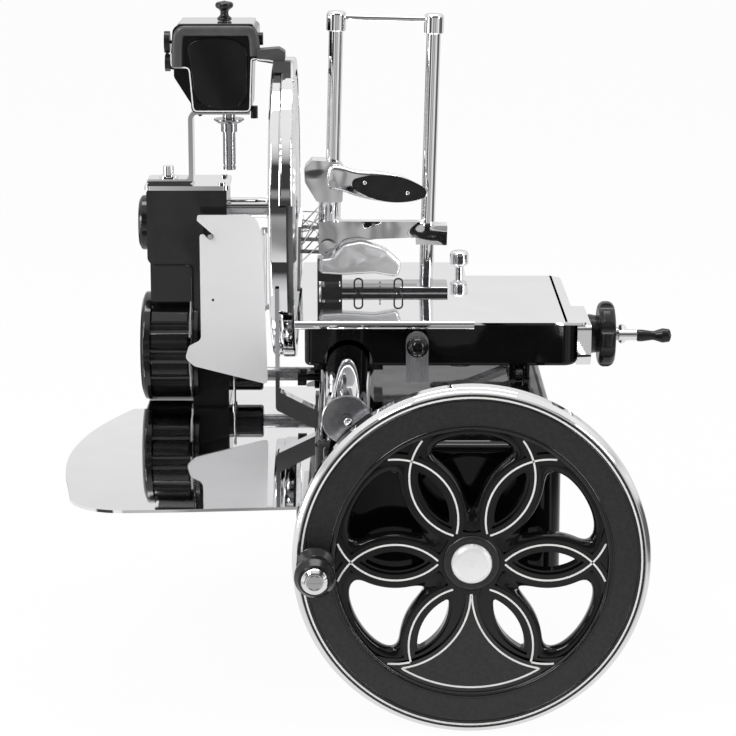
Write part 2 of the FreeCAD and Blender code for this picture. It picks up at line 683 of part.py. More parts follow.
def round_cover(radius, z, x_face):
    """Dished round cover with a screw in its middle, seated on a left face."""
    depth = COVER_DEPTH
    rim = [
        (0, 0), (radius, 0), (radius, depth - 3), (radius - 5, depth), (radius * 0.62, depth),
        (radius * 0.5, depth - 3), (0, depth - 3),
    ]
    disc = turned(rim, [0, 0, 2, 2, 2, 3, 0], V(x_face, BLADE_Y, z), V(-1, 0, 0))
    return disc.fuse(rod_x(4, x_face - depth - 1, x_face, BLADE_Y, z))


def blade_shaft_housing():
    return tube_x(TUBE_R, BLADE_SHAFT_R + RUN_FIT, COL_X1, TUBE_X1, BLADE_Y, BLADE_Z)


def cross_shaft_boss():
    long = CROSS_BOSS_X1 - COL_X1
    return turned(
        [(0, -1), (CROSS_BOSS_R, -1), (CROSS_BOSS_R, long), (0, long)], [0, 0, 3, 0],
        V(COL_X1, BLADE_Y, CROSS_Z), V(1, 0, 0),
    )


# ---- drive train -----------------------------------------------------------------------------
def shaft_bushes():
    wall = BUSH_WALL
    front = tube_y(
        FLY_SHAFT_R + wall, FLY_SHAFT_R + RUN_FIT, -BASE_HALF_Y - BOSS_FRONT, -BASE_HALF_Y + BOSS_FRONT,
        FLY_X, FLY_Z,
    )
    rear = tube_y(
        FLY_SHAFT_R + wall, FLY_SHAFT_R + RUN_FIT, RIB_Y - RIB_BOSS_OUT,
        RIB_Y + RIB_THICK + RIB_BOSS_OUT, FLY_X, FLY_Z,
    )
    deck = tube_z(
        CRANK_SHAFT_R + wall, CRANK_SHAFT_R + RUN_FIT, BASE_TOP - BASE_WALL, BASE_TOP + 1, FLY_X,
        BLADE_Y,
    )
    side = tube_x(
        CROSS_SHAFT_R + wall, CROSS_SHAFT_R + RUN_FIT, SIDE_BUSH_X0, SIDE_BUSH_X1, BLADE_Y, CROSS_Z,
    )
    return [front, rear, deck, side]


def pinion_back():
    """Distance of a pinion's big end from the crank shaft."""
    return MODULE * WHEEL_TEETH / 2


def flywheel_shaft():
    """Shaft from the flywheel's hub to the bevel pinion, which is cut on its far end."""
    end = BLADE_Y - pinion_back() * (1 - GEAR_FACE) - 2
    points = [(0, 0), (FLY_SHAFT_R, 0), (FLY_SHAFT_R, end - FLY_FACE_Y), (0, end - FLY_FACE_Y)]
    shaft = turned(points, [0, 0, 1, 0], V(FLY_X, FLY_FACE_Y, FLY_Z), V(0, 1, 0))
    gear = bevel_gear(PINION_TEETH, WHEEL_TEETH, FLY_SHAFT_R / 2, math.pi / PINION_TEETH)
    return fuse([shaft, turn_to(gear, V(0, -1, 0), V(FLY_X, BLADE_Y, FLY_Z))])


def cross_pinion():
    gear = bevel_gear(PINION_TEETH, WHEEL_TEETH, CROSS_SHAFT_R / 2, math.pi / PINION_TEETH)
    return turn_to(gear, V(-1, 0, 0), V(FLY_X, BLADE_Y, CROSS_Z))


def bevel_wheels():
    """Two equal wheels on the crank shaft: one faces down to the flywheel pinion, one up."""
    wheel = bevel_gear(WHEEL_TEETH, PINION_TEETH, CRANK_SHAFT_R, 0.0)
    lower = turn_to(wheel, V(0, 0, 1), V(FLY_X, BLADE_Y, FLY_Z))
    upper = turn_to(wheel, V(0, 0, -1), V(FLY_X, BLADE_Y, CROSS_Z))
    return [lower, upper]


def crank_level():
    return BASE_TOP + CRANK_LIFT


def crank():
    """Vertical shaft with its crank arm, whose short pin ends under the connecting rod's eye."""
    shaft = rod_z(CRANK_SHAFT_R, COVER_THICK + 3 + SLIDE_GAP, crank_level(), FLY_X, BLADE_Y)
    z0 = crank_level()
    z1 = z0 + CRANK_THICK
    arm = prism_z(
        [
            (FLY_X - 30, BLADE_Y - 20), (FLY_X + CRANK_R + 11, BLADE_Y - 10),
            (FLY_X + CRANK_R + 11, BLADE_Y + 10), (FLY_X - 30, BLADE_Y + 20),
        ],
        [18, 9.5, 9.5, 18],
        z0,
        z1,
    )
    pin = rod_z(CRANK_PIN_R, z1, z1 + 2, FLY_X + CRANK_R, BLADE_Y)
    hub = rod_z(CRANK_SHAFT_R + 6, z0, z1 + 2, FLY_X, BLADE_Y)
    return fuse([shaft, arm, pin, hub])


def link_level():
    return crank_level() + CRANK_THICK + 2 + SLIDE_GAP


def link_spots():
    """Pin on the carriage and eye over the crank pin."""
    carriage_pin = (FLY_X, LINK_PIN_Y)
    return carriage_pin, (FLY_X + CRANK_R, BLADE_Y)


def connecting_rod():
    (x0, y0), (x1, y1) = link_spots()
    z0 = link_level()
    z1 = z0 + LINK_THICK
    along = V(x1 - x0, y1 - y0, 0).normalize()
    side = V(-along.y, along.x, 0) * 7
    points = [
        (x0 + side.x, y0 + side.y), (x1 + side.x, y1 + side.y), (x1 - side.x, y1 - side.y),
        (x0 - side.x, y0 - side.y),
    ]
    bar = prism_z(points, 0, z0, z1)
    eye = rod_z(13, z0, z1, x0, y0)
    far_eye = rod_z(11, z0, z1, x1, y1)
    holes = rod_z(LINK_PIN_R + RUN_FIT, z0, z1, x0, y0).fuse(rod_z(CRANK_PIN_R + RUN_FIT, z0, z1, x1, y1))
    return fuse([bar, eye, far_eye]).cut(holes)


def cross_shaft():
    """Shaft from the bevel gears to the column, with the large chain wheel on its left end."""
    x0 = CHAIN_X - SPROCKET_THICK
    x1 = FLY_X - pinion_back() * (1 - GEAR_FACE) - 2
    wheel = turn_to(sprocket(LOW_SPROCKET_TEETH, 2), V(1, 0, 0), V(CHAIN_X, BLADE_Y, CROSS_Z))
    return fuse([rod_x(CROSS_SHAFT_R, x0, x1, BLADE_Y, CROSS_Z), wheel, cross_pinion()])


def belt(low_r, top_r, x0, x1):
    """Solid of the shape that a belt round both sprockets encloses."""
    distance = BLADE_Z - CROSS_Z
    lean = math.asin((low_r - top_r) / distance)
    spots = []
    for sign in (-1, 1):
        spots.append((sign * low_r * math.cos(lean), CROSS_Z + low_r * math.sin(lean)))
        spots.append((sign * top_r * math.cos(lean), BLADE_Z + top_r * math.sin(lean)))
    corners = [spots[0], spots[1], spots[3], spots[2]]
    wedge = prism_x([(BLADE_Y + y, z) for y, z in corners], 0, x0, x1)
    return fuse([wedge, rod_x(low_r, x0, x1, BLADE_Y, CROSS_Z), rod_x(top_r, x0, x1, BLADE_Y, BLADE_Z)])


def drive_chain():
    x0, x1 = CHAIN_X - CHAIN_WIDE / 2, CHAIN_X + CHAIN_WIDE / 2
    low_r, top_r = sprocket_r(LOW_SPROCKET_TEETH), sprocket_r(TOP_SPROCKET_TEETH)
    outside = belt(low_r + CHAIN_THICK / 2, top_r + CHAIN_THICK / 2, x0, x1)
    return outside.cut(belt(low_r - 0.3, top_r - 0.3, x0, x1))


# ---- flywheel --------------------------------------------------------------------------------
def polar(radius, degrees):
    """Point of the flywheel plane at an angle from straight up, clockwise for the operator."""
    angle = math.radians(degrees)
    return FLY_X + radius * math.sin(angle), FLY_Z + radius * math.cos(angle)


def petal_disc(k, radius, y0, y1):
    x, z = polar(PETAL_CENTRE, k * 360 / PETALS)
    return rod_y(radius, y0, y1, x, z)


def big_opening(k, y0, y1):
    inner = PETAL_R - PETAL_RIB
    outer = PETAL_R + PETAL_RIB
    shape = petal_disc(k, inner, y0, y1).common(rod_y(FLY_RING_IN - 4, y0, y1, FLY_X, FLY_Z))
    for other in (k - 1, k + 1):
        shape = shape.cut(petal_disc(other, outer, y0, y1))
    shape = shape.cut(rod_y(HUB_R + 4, y0, y1, FLY_X, FLY_Z))
    upright = edges_where(shape, lambda e: abs(e.tangentAt(e.FirstParameter).y) > 0.99)
    return shape.makeFillet(OPEN_CORNER, upright)


def lens_opening(k, y0, y1):
    inner = PETAL_R - PETAL_RIB
    shape = petal_disc(k, inner, y0, y1).common(petal_disc(k + 1, inner, y0, y1))
    upright = edges_where(shape, lambda e: abs(e.tangentAt(e.FirstParameter).y) > 0.99)
    return shape.makeFillet(2.0, upright)


def rosette_rib(k, y0, y1):
    """Raised crest along one circle of the rosette, from the hub to the ring."""
    crest = petal_disc(k, PETAL_R + PETAL_CREST, y0, y1).cut(petal_disc(k, PETAL_R - PETAL_CREST, y0, y1))
    return crest.common(rod_y(FLY_RING_IN, y0, y1, FLY_X, FLY_Z))


def bell_panel(offset, y0, y1):
    """Solid panel under the hub: two flared sides and an arc along the ring."""
    reach = BELL_SIDE_R - offset
    block = rod_y(BELL_RING_R + offset, y0, y1, FLY_X, FLY_Z)
    block = block.common(
        box(FLY_X - BELL_SIDE_X, FLY_X + BELL_SIDE_X, y0, y1, FLY_Z - FLY_RING_IN, FLY_Z - HUB_R)
    )
    for sign in (-1, 1):
        block = block.cut(rod_y(reach, y0, y1, FLY_X + sign * BELL_SIDE_X, FLY_Z - BELL_SIDE_DROP))
    return block


def flywheel():
    web_y0 = FLY_FACE_Y + FLY_WEB_SINK
    web_y1 = web_y0 + FLY_WEB_THICK
    crest_y = FLY_FACE_Y + CREST_SINK
    ring_y1 = FLY_FACE_Y + FLY_RING_THICK
    axis_point, axis = V(FLY_X, FLY_FACE_Y, FLY_Z), V(0, 1, 0)
    ring_points = [(FLY_RING_IN, 0), (FLY_R, 0), (FLY_R, FLY_RING_THICK), (FLY_RING_IN, FLY_RING_THICK)]
    ring = turned(ring_points, [3, 0, 0, 0], axis_point, axis)
    solid_side = 3
    ribs = [rosette_rib(k, crest_y, web_y0) for k in range(PETALS) if k != solid_side]
    under = rosette_rib(solid_side, crest_y, web_y0)
    ribs += [
        under.common(petal_disc(k, PETAL_R, crest_y, web_y0))
        for k in (solid_side - 1, solid_side + 1)
    ]
    panel = bell_panel(BELL_EDGE, crest_y, web_y0)
    groove = bell_panel(BELL_EDGE + BELL_GROOVE, crest_y, web_y0)
    crests = [rib.cut(groove) for rib in ribs] + [panel]
    web = rod_y(FLY_RING_IN + 6, web_y0, web_y1, FLY_X, FLY_Z)
    openings = [big_opening(k, crest_y, web_y1) for k in range(PETALS) if k != solid_side]
    openings += [lens_opening(k, crest_y, web_y1) for k in range(PETALS)]
    hub_long = FLY_RING_THICK + HUB_BEHIND
    hub = turned([(0, 0), (HUB_R, 0), (HUB_R, hub_long), (0, hub_long)], [0, 4, 0, 0], axis_point, axis)
    face = fuse([web] + crests).cut(Part.makeCompound(openings))
    body = fuse([ring, face, hub])
    return body.cut(rod_y(FLY_SHAFT_R, FLY_FACE_Y, ring_y1 + 10, FLY_X, FLY_Z))


def flywheel_rim():
    """Polished band shrunk on the casting: a thin bead at the front, then a crowned face."""
    points = [
        (FLY_R, 0), (FLY_R + 1.8, 0), (FLY_R + 2.4, 2.5), (FLY_RIM_R, 6), (FLY_RIM_R, FLY_RIM_THICK - 6),
        (FLY_R + 2, FLY_RIM_THICK), (FLY_R, FLY_RIM_THICK),
    ]
    return turned(points, [0, 0.7, 1, 4, 4, 1, 0], V(FLY_X, FLY_FACE_Y - 0.5, FLY_Z), V(0, 1, 0))


def hub_cap():
    points = [(0, 0), (HUB_CAP_R, 0), (HUB_CAP_R, 3), (HUB_CAP_R - 5, 6), (0, 7)]
    return turned(points, [0, 0, 2, 6, 0], V(FLY_X, FLY_FACE_Y, FLY_Z), V(0, -1, 0))


def handle_pin():
    x, z = polar(HANDLE_R, -90)
    shank = rod_y(HANDLE_PIN_R, FLY_FACE_Y - HANDLE_LONG, FLY_FACE_Y, x, z)
    collar = rod_y(9, FLY_FACE_Y - 3, FLY_FACE_Y, x, z)
    points = [(0, 0), (13, 0), (13, 2.5), (9, 5.5), (0, 5.5)]
    cap = turned(points, [0, 0, 1.5, 3, 0], V(x, FLY_FACE_Y - HANDLE_LONG, z), V(0, -1, 0))
    cap_front = FLY_FACE_Y - HANDLE_LONG - 5.5
    dish = rod_y(7.5, cap_front, cap_front + 1.5, x, z)
    screw = rod_y(6.5, cap_front, cap_front + 1.5, x, z)
    slot = box(x - 7, x + 7, cap_front, cap_front + 1, z - 0.9, z + 0.9)
    return fuse([shank, collar, cap.cut(dish), screw]).cut(slot)


def handle_grip():
    x, z = polar(HANDLE_R, -90)
    start = 3 + SLIDE_GAP
    bore = HANDLE_PIN_R + RUN_FIT
    points = [
        (bore, start), (19, start), (19, start + 5), (11.5, start + 13), (11.5, start + 24),
        (20, start + 36),
        (20, start + 45), (15, HANDLE_LONG), (bore, HANDLE_LONG),
    ]
    return turned(points, [0, 2, 2, 8, 12, 8, 5, 2, 0], V(x, FLY_FACE_Y + SLIDE_GAP, z), V(0, -1, 0))


# ---- guide rod and carriage ------------------------------------------------------------------
def guide_rod():
    return rod_y(ROD_R, ROD_Y0, ROD_Y1, ROD_X, ROD_Z)


def rod_caps():
    points = [(0, 0), (ROD_CAP_R, 0), (ROD_CAP_R, ROD_CAP_THICK), (0, ROD_CAP_THICK)]
    near = turned(points, [0, 0, 1, 0], V(ROD_X, ROD_Y0, ROD_Z), V(0, -1, 0))
    far = turned(points, [0, 0, 1, 0], V(ROD_X, ROD_Y1, ROD_Z), V(0, 1, 0))
    screw = rod_y(6, ROD_Y0 - ROD_CAP_THICK - 2, ROD_Y0 - ROD_CAP_THICK, ROD_X, ROD_Z)
    return [near, far, screw]


def carriage_body():
    plan = block_corners(CAR_X0, CAR_X1, CAR_Y0, CAR_Y1)
    body = prism_z(plan, [8, 16, 10, 8], CAR_BOTTOM, CAR_TOP)
    lower = edges_where(body, lambda e: abs(e.CenterOfMass.z - CAR_BOTTOM) < 0.01)
    body = body.makeFillet(5, lower)
    inner_plan = block_corners(CAR_X0 + CAR_WALL, CAR_X1 - CAR_WALL, CAR_Y0 + CAR_WALL, CAR_Y1 - CAR_WALL)
    hollow = prism_z(inner_plan, [4, 10, 5, 4], CAR_BOTTOM + CAR_WALL, CAR_TOP)
    tunnel_r = ROD_R + TUNNEL_GAP
    tunnel_wall = rod_y(tunnel_r + 4, CAR_Y0 + CAR_WALL, CAR_Y1 - CAR_WALL, ROD_X, ROD_Z)
    tunnel_wall = tunnel_wall.common(box(CAR_X0, CAR_X1, CAR_Y0, CAR_Y1, CAR_BOTTOM, CAR_TOP))
    link_boss = rod_z(
        LINK_PIN_R + 7, link_level() + LINK_THICK + SLIDE_GAP, CAR_BOTTOM + CAR_WALL, FLY_X, LINK_PIN_Y,
    )
    link_pin = rod_z(LINK_PIN_R, link_level(), CAR_BOTTOM, FLY_X, LINK_PIN_Y)
    screw_boss = box(
        SCREW_X0 - 8, SCREW_X0 + 6, SCREW_Y - 12, SCREW_Y + 12, CAR_BOTTOM + CAR_WALL - 1, SCREW_Z + 11,
    )
    body = fuse([body.cut(hollow), tunnel_wall, link_boss, link_pin, screw_boss] + roller_ears())
    cuts = [
        rod_y(tunnel_r, CAR_Y0, CAR_Y1, ROD_X, ROD_Z),
        rod_x(SCREW_R + RUN_FIT, SCREW_X0 - 1, CAR_X1, SCREW_Y, SCREW_Z),
        rod_x(ROLLER_AXLE_R + RUN_FIT, RAIL_X - 20, RAIL_X + 20, ROLLER_Y, roller_z()),
        box(
            NUT_X - 2, NUT_X + FEED_TRAVEL + NUT_LONG + 2, CAR_Y1 - CAR_WALL, CAR_Y1, NUT_ARM_Z0 - 1,
            CAR_TOP,
        ),
    ]
    return body.cut(Part.makeCompound(cuts))


def roller_z():
    return BASE_TOP + RAIL_H + ROLLER_R + ROLLER_GAP


def roller_ears():
    """Two ears under the carriage that hold the support roller."""
    ears = []
    for x in (RAIL_X - ROLLER_WIDE / 2 - SIDE_GAP - EAR_THICK, RAIL_X + ROLLER_WIDE / 2 + SIDE_GAP):
        points = [
            (ROLLER_Y - 14, CAR_BOTTOM + 2), (ROLLER_Y - 8, roller_z() - 8),
            (ROLLER_Y + 8, roller_z() - 8), (ROLLER_Y + 14, CAR_BOTTOM + 2),
        ]
        ears.append(prism_x(points, [0, 5, 5, 0], x, x + EAR_THICK))
    return ears


def support_roller():
    wheel = turned(
        [(0, 0), (ROLLER_R, 0), (ROLLER_R, ROLLER_WIDE), (0, ROLLER_WIDE)], [0, 1.5, 1.5, 0],
        V(RAIL_X - ROLLER_WIDE / 2, ROLLER_Y, roller_z()), V(1, 0, 0),
    )
    reach = ROLLER_WIDE / 2 + SIDE_GAP + EAR_THICK
    axle = rod_x(ROLLER_AXLE_R, RAIL_X - reach, RAIL_X + reach, ROLLER_Y, roller_z())
    return wheel.fuse(axle)


def carriage_cover():
    """Mirror plate on the right part of the carriage, beside and under the meat table."""
    z1 = TABLE_Z - MEAT_THICK - SLIDE_GAP
    z0 = z1 - COVER_PLATE
    points = [
        (CAR_X0, CAR_Y0 + 1), (CAR_X1 + 10, CAR_Y0 + 1), (CAR_X1 + 6, CAR_Y0 + 34),
        (CAR_X1 - 7, CAR_Y0 + 92),
        (CAR_X1 - 8, CAR_Y1), (CAR_X0, CAR_Y1),
    ]
    return prism_z(points, [4, 5, 12, 30, 5, 4], z0, z1)


def rod_sleeve():
    """Bearing block round the guide rod, open along its underside."""
    outer_r = ROD_R + SLEEVE_WALL
    block = rod_y(outer_r, SLEEVE_Y0, SLEEVE_Y1, ROD_X, ROD_Z)
    block = block.common(box(-200, 200, SLEEVE_Y0, SLEEVE_Y1, ROD_Z - outer_r, CAR_BOTTOM - 0.01))
    lugs = box(ROD_X - outer_r - 8, ROD_X + outer_r + 8, SLEEVE_Y0, SLEEVE_Y1, CAR_BOTTOM - 7, CAR_BOTTOM)
    slot = box(ROD_X - 12, ROD_X + 12, SLEEVE_Y0, SLEEVE_Y1, ROD_Z - outer_r, ROD_Z)
    return fuse([block, lugs]).cut(rod_y(ROD_R + RUN_FIT, SLEEVE_Y0, SLEEVE_Y1, ROD_X, ROD_Z)).cut(slot)


def carriage_end_block():
    """Polished end casting that carries the feed screw's bearing."""
    points = [
        (CAR_Y0 + 5, CAR_BOTTOM - 2), (END_Y1, CAR_BOTTOM - 2), (END_Y1, CAR_TOP - 1),
        (CAR_Y0 + 5, CAR_TOP - 1),
    ]
    block = prism_x(points, [14, 14, 6, 6], CAR_X1, END_X1)
    return block.cut(rod_x(SCREW_R + RUN_FIT, CAR_X1, END_X1, SCREW_Y, SCREW_Z))


# ---- feed screw ------------------------------------------------------------------------------
def feed_screw():
    x1 = END_X1 + 34
    screw = rod_x(SCREW_R, SCREW_X0, x1, SCREW_Y, SCREW_Z)
    return screw


def feed_handwheel():
    x0 = END_X1 + SLIDE_GAP
    hub = turned(
        [(SCREW_R, 0), (22, 0), (20, 12), (SCREW_R, 12)], [0, 1, 0, 0], V(x0, SCREW_Y, SCREW_Z),
        V(1, 0, 0),
    )
    wheel = turned(
        [(SCREW_R, 11), (WHEEL_R, 11), (WHEEL_R, 29), (SCREW_R, 29)], [0, 7, 8, 0],
        V(x0, SCREW_Y, SCREW_Z), V(1, 0, 0),
    )
    notches = []
    for i in range(WHEEL_LOBES):
        angle = math.radians((i + 0.5) * 360 / WHEEL_LOBES)
        y = SCREW_Y + (WHEEL_R + 6) * math.cos(angle)
        z = SCREW_Z + (WHEEL_R + 6) * math.sin(angle)
        notches.append(rod_x(10, x0 + 12.5, x0 + 30, y, z))
    return hub.fuse(wheel.cut(Part.makeCompound(notches))).removeSplitter()


def handwheel_boss():
    """Polished pivot block that carries the small grip beside the screw's axis."""
    x0 = END_X1 + SLIDE_GAP + 29
    boss = turned([(0, 0), (12, 0), (9, 8), (0, 8)], [0, 2, 2, 0], V(x0 + 5, SCREW_Y, SCREW_Z), V(1, 0, 0))
    finger = rod_x(6, x0 + 5, x0 + 24, SCREW_Y - GRIP_OFFSET + 3, SCREW_Z)
    pin = rod_x(GRIP_PIN_R, x0 + 24, x0 + 50, SCREW_Y - GRIP_OFFSET, SCREW_Z)
    return fuse([boss, finger, pin])


def feed_grip():
    x0 = END_X1 + SLIDE_GAP + 29 + 24 + SLIDE_GAP
    bore = GRIP_PIN_R + RUN_FIT
    points = [(bore, 0), (6.5, 0), (6.5, 6), (4.8, 18), (8, 28), (7, 36), (0, 38), (0, 27), (bore, 27)]
    return turned(points, [0, 1, 3, 8, 5, 3, 0, 0, 0], V(x0, SCREW_Y - GRIP_OFFSET, SCREW_Z), V(1, 0, 0))


# ---- meat table ------------------------------------------------------------------------------
def meat_table():
    points = block_corners(MEAT_X0, MEAT_X1, MEAT_Y0, MEAT_Y1)
    plate = prism_z(points, [2, 3, 6, 3], TABLE_Z - MEAT_THICK, TABLE_Z)
    stud = rod_z(TABLE_STUD_R, TABLE_Z, TABLE_Z + TABLE_STUD_H, TABLE_KNOB_X, TABLE_KNOB_Y)
    return plate.fuse(stud)


def feed_nut():
    """Nut on the feed screw, with an arm to the table's underside behind the carriage."""
    nut = box(NUT_X, NUT_X + NUT_LONG, SCREW_Y - NUT_R, SCREW_Y + NUT_R, SCREW_Z - NUT_R, NUT_ARM_Z1)
    back = CAR_Y1 + 3
    arm = box(NUT_X, NUT_X + NUT_LONG, SCREW_Y, back, NUT_ARM_Z0, NUT_ARM_Z1)
    riser = box(NUT_X, NUT_X + NUT_LONG, back, back + 10, NUT_ARM_Z0, TABLE_Z - MEAT_THICK)
    hole = rod_x(SCREW_R + RUN_FIT, NUT_X, NUT_X + NUT_LONG, SCREW_Y, SCREW_Z)
    return fuse([nut, arm, riser]).cut(hole)


def table_rail():
    """Rounded bar along the near edge of the meat table."""
    y = MEAT_Y0 - TABLE_RAIL_R
    z = TABLE_Z - TABLE_RAIL_R + 0.5
    bar = prism_x(
        [(y - TABLE_RAIL_R, z - 5), (MEAT_Y0, z - 5), (MEAT_Y0, z + 4.5), (y - TABLE_RAIL_R, z + 4.5)],
        [4, 0, 0, 4], MEAT_X0 - 1, TABLE_RAIL_X1,
    )
    return bar


def table_knob():
    """Clamping knob on the table's stud."""
    origin = V(TABLE_KNOB_X, TABLE_KNOB_Y, TABLE_Z + SLIDE_GAP)
    points = [(0, 0), (5, 0), (5, 8), (11, 11), (11, 26), (0, 28)]
    knob = turned(points, [0, 0, 1, 3, 5, 0], origin, V(0, 0, 1))
    top = TABLE_Z + TABLE_STUD_H + SIDE_GAP
    return knob.cut(rod_z(TABLE_STUD_R + RUN_FIT, TABLE_Z, top, TABLE_KNOB_X, TABLE_KNOB_Y))


# ---- meat holder -----------------------------------------------------------------------------
def leaning(shape):
    """The posts and all that they carry lean together."""
    turned_shape = shape.copy()
    turned_shape.rotate(V(POST_LEFT_X, POST_Y, TABLE_Z), V(0, 1, 0), POST_LEAN)
    return turned_shape


def meat_posts():
    trim = box(-200, 200, POST_Y - 40, POST_Y + 40, TABLE_Z, 600)
    posts = []
    for x in (POST_LEFT_X, POST_RIGHT_X):
        post = leaning(rod_z(POST_R, TABLE_Z - 12, POST_TOP, x, POST_Y))
        posts.append(post.common(trim))
    return posts


def post_bridge():
    """Two caps on the posts, joined by a thin bar."""
    points = [(POST_R, -12), (11, -12), (11, 10), (0, 10), (0, 0), (POST_R, 0)]
    pieces = [leaning(rod_x(3.5, POST_LEFT_X + 9, POST_RIGHT_X - 9, POST_Y, POST_TOP + 3))]
    for x in (POST_LEFT_X, POST_RIGHT_X):
        pieces.append(leaning(turned(points, [0, 1, 4, 0, 0, 0], V(x, POST_Y, POST_TOP), V(0, 0, 1))))
    return fuse(pieces)


def wire_loop(x0):
    """Upright wire loop on the near side of the ribbed bar."""
    y0, y1 = POST_Y - 34 - WIRE, POST_Y - 34
    z0, z1 = TABLE_Z + 1, TABLE_Z + 18
    outer = prism_y(block_corners(x0, x0 + LOOP_WIDE, z0, z1), 5, y0, y1)
    inner = block_corners(x0 + WIRE, x0 + LOOP_WIDE - WIRE, z0 + WIRE, z1 - WIRE)
    return outer.cut(prism_y(inner, 5 - WIRE, y0, y1))


def post_bar():
    """Ribbed bar that ties both posts at the table, with two wire loops and the pear lever's pivot."""
    y0, y1 = POST_Y - 34, POST_Y + 9
    bar = box(POST_LEFT_X - 9, POST_RIGHT_X + 24, y0, y1, TABLE_Z, TABLE_Z + BAR_H)
    block = box(POST_LEFT_X - 14, POST_LEFT_X + 14, POST_Y - 24, POST_Y - 3, TABLE_Z, 249)
    pivot = leaning(rod_y(PEAR_PIVOT_R, POST_Y - 36, POST_Y - 24, POST_LEFT_X, PEAR_PIVOT_Z))
    grooves = [
        box(POST_LEFT_X + 14, POST_RIGHT_X - 10, y0, y0 + 1, TABLE_Z + z, TABLE_Z + z + 1.4)
        for z in (1.6, 4.6)
    ]
    grooves += [
        box(POST_LEFT_X + 14, POST_RIGHT_X - 10, y, y + 2, TABLE_Z + BAR_H - 1, TABLE_Z + BAR_H)
        for y in (y0 + 4, y0 + 10, y0 + 16)
    ]
    pin = rod_z(1, TABLE_Z + BAR_H - 1, TABLE_Z + BAR_H + 6, POST_LEFT_X + 57, y0 + 2)
    posts = [leaning(rod_z(POST_R, TABLE_Z - 12, 300, x, POST_Y)) for x in (POST_LEFT_X, POST_RIGHT_X)]
    loops = [wire_loop(POST_LEFT_X + offset) for offset in (27, 72)]
    return fuse([bar, block, pivot, pin] + loops).cut(Part.makeCompound(grooves + posts))


def clamp_slider():
    """Block on the left post, with the arm that reaches past the right post."""
    left = POST_LEFT_X
    block = prism_y(
        [
            (left - 17, 312), (left + 12, 312), (left + 12, 350), (left + 6, 358), (left - 24, 359),
            (left - 32, 350), (left - 31, 334),
        ],
        [4, 3, 3, 3, 5, 5, 8],
        POST_Y - 17,
        POST_Y + 13,
    )
    neck = rod_z(POST_R + 4.5, 262, 313, left - 2.5, POST_Y)
    foot = box(left - 14, left + 12, POST_Y - 15, POST_Y + 12, 252, 289)
    far = POST_RIGHT_X + 22
    arm = prism_y(
        [
            (left + 8, 263), (left + 50, 271), (left + 96, 274), (left + 98, 266), (far, 266),
            (far, 288), (left + 104, 288), (left + 98, 292), (left + 8, 290),
        ],
        [2, 40, 2, 2, 3, 2, 2, 2, 2],
        POST_Y - 15,
        POST_Y,
    )
    end = box(POST_RIGHT_X - 13, far, POST_Y - 15, POST_Y + 12, 266, 288)
    boss = rod_y(9.5, POST_Y - 24, POST_Y - 14, left - 4, 260)
    pivot = rod_y(HANDLE_PIVOT_R, POST_Y - 27, POST_Y - 17, left, HANDLE_PIVOT_Z)
    body = fuse([block, neck, foot, arm, end, boss, pivot])
    holes = [rod_z(POST_R + RUN_FIT, 200, 400, x, POST_Y) for x in (POST_LEFT_X, POST_RIGHT_X)]
    return leaning(body.cut(Part.makeCompound(holes)))


def press_plate():
    """Toothed plate that presses the meat near the blade."""
    x0, x1 = POST_LEFT_X - 36, POST_LEFT_X - 14.0
    bars = [box(x0 + 2, x1, POST_Y - 12, POST_Y - 8, z, z + 4) for z in (252, 266, 280)]
    teeth = []
    for i in range(6):
        y = POST_Y - 62 + i * 20
        teeth.append(
            prism_x(
                [(y, 218), (y + 5, 224), (y + 5, 292), (y, 296), (y - 5, 292), (y - 5, 224)], 0, x0,
                x0 + 3,
            )
        )
    strips = [box(x0, x0 + 3, POST_Y - 68, POST_Y + 44, z, z + 4) for z in (240, 252, 266, 280)]
    return leaning(fuse(teeth + strips + bars))


def clamp_handle():
    """Handle with two grip scales, on a pivot in the slider's block."""
    left = POST_LEFT_X
    y0, y1 = POST_Y - 24, POST_Y - 17 - SLIDE_GAP
    tang = prism_y(
        [
            (left - 6, 327), (left + 7, 327), (left + 29, 319), (left + 52, 315), (left + 76, 314),
            (left + 99, 318),
            (left + 106, 326), (left + 86, 342), (left + 57, 349), (left + 28, 348), (left + 10, 355),
            (left - 6, 355),
        ],
        [6, 20, 50, 60, 40, 7, 6, 30, 60, 20, 20, 6],
        y0,
        y1,
    )
    return leaning(tang.cut(rod_y(HANDLE_PIVOT_R + RUN_FIT, y0, y1, left, HANDLE_PIVOT_Z)))


def grip_scale():
    """Dark oval scale on the front of the handle."""
    left = POST_LEFT_X
    y1 = POST_Y - 24
    scale = oval(left + 25, left + 103, 331, 15, y1 - 4, y1).fuse(
        oval(left + 27, left + 101, 331, 13.5, y1 - 5, y1 - 4)
    )
    scale.rotate(V(left + 64, y1, 331), V(0, 1, 0), 6)
    rivets = [rod_y(2.2, y1 - 5.6, y1 - 5, left + offset, z) for offset, z in ((36, 334), (85, 329))]
    return leaning(fuse([scale] + rivets))


def oval(x0, x1, z, half, y0, y1):
    """Oval plate with blunt ends."""
    end = 0.62
    middle = (x0 + x1) / 2
    upper = Part.Arc(
        V(x0, y0, z + half * (1 - end)), V(middle, y0, z + half), V(x1, y0, z + half * (1 - end)),
    ).toShape()
    right = Part.Arc(
        V(x1, y0, z + half * (1 - end)), V(x1 + half * 0.2, y0, z), V(x1, y0, z - half * (1 - end)),
    ).toShape()
    lower = Part.Arc(
        V(x1, y0, z - half * (1 - end)), V(middle, y0, z - half), V(x0, y0, z - half * (1 - end)),
    ).toShape()
    left = Part.Arc(
        V(x0, y0, z - half * (1 - end)), V(x0 - half * 0.2, y0, z), V(x0, y0, z + half * (1 - end)),
    ).toShape()
    return Part.Face(Part.Wire([upper, right, lower, left])).extrude(V(0, y1 - y0, 0))


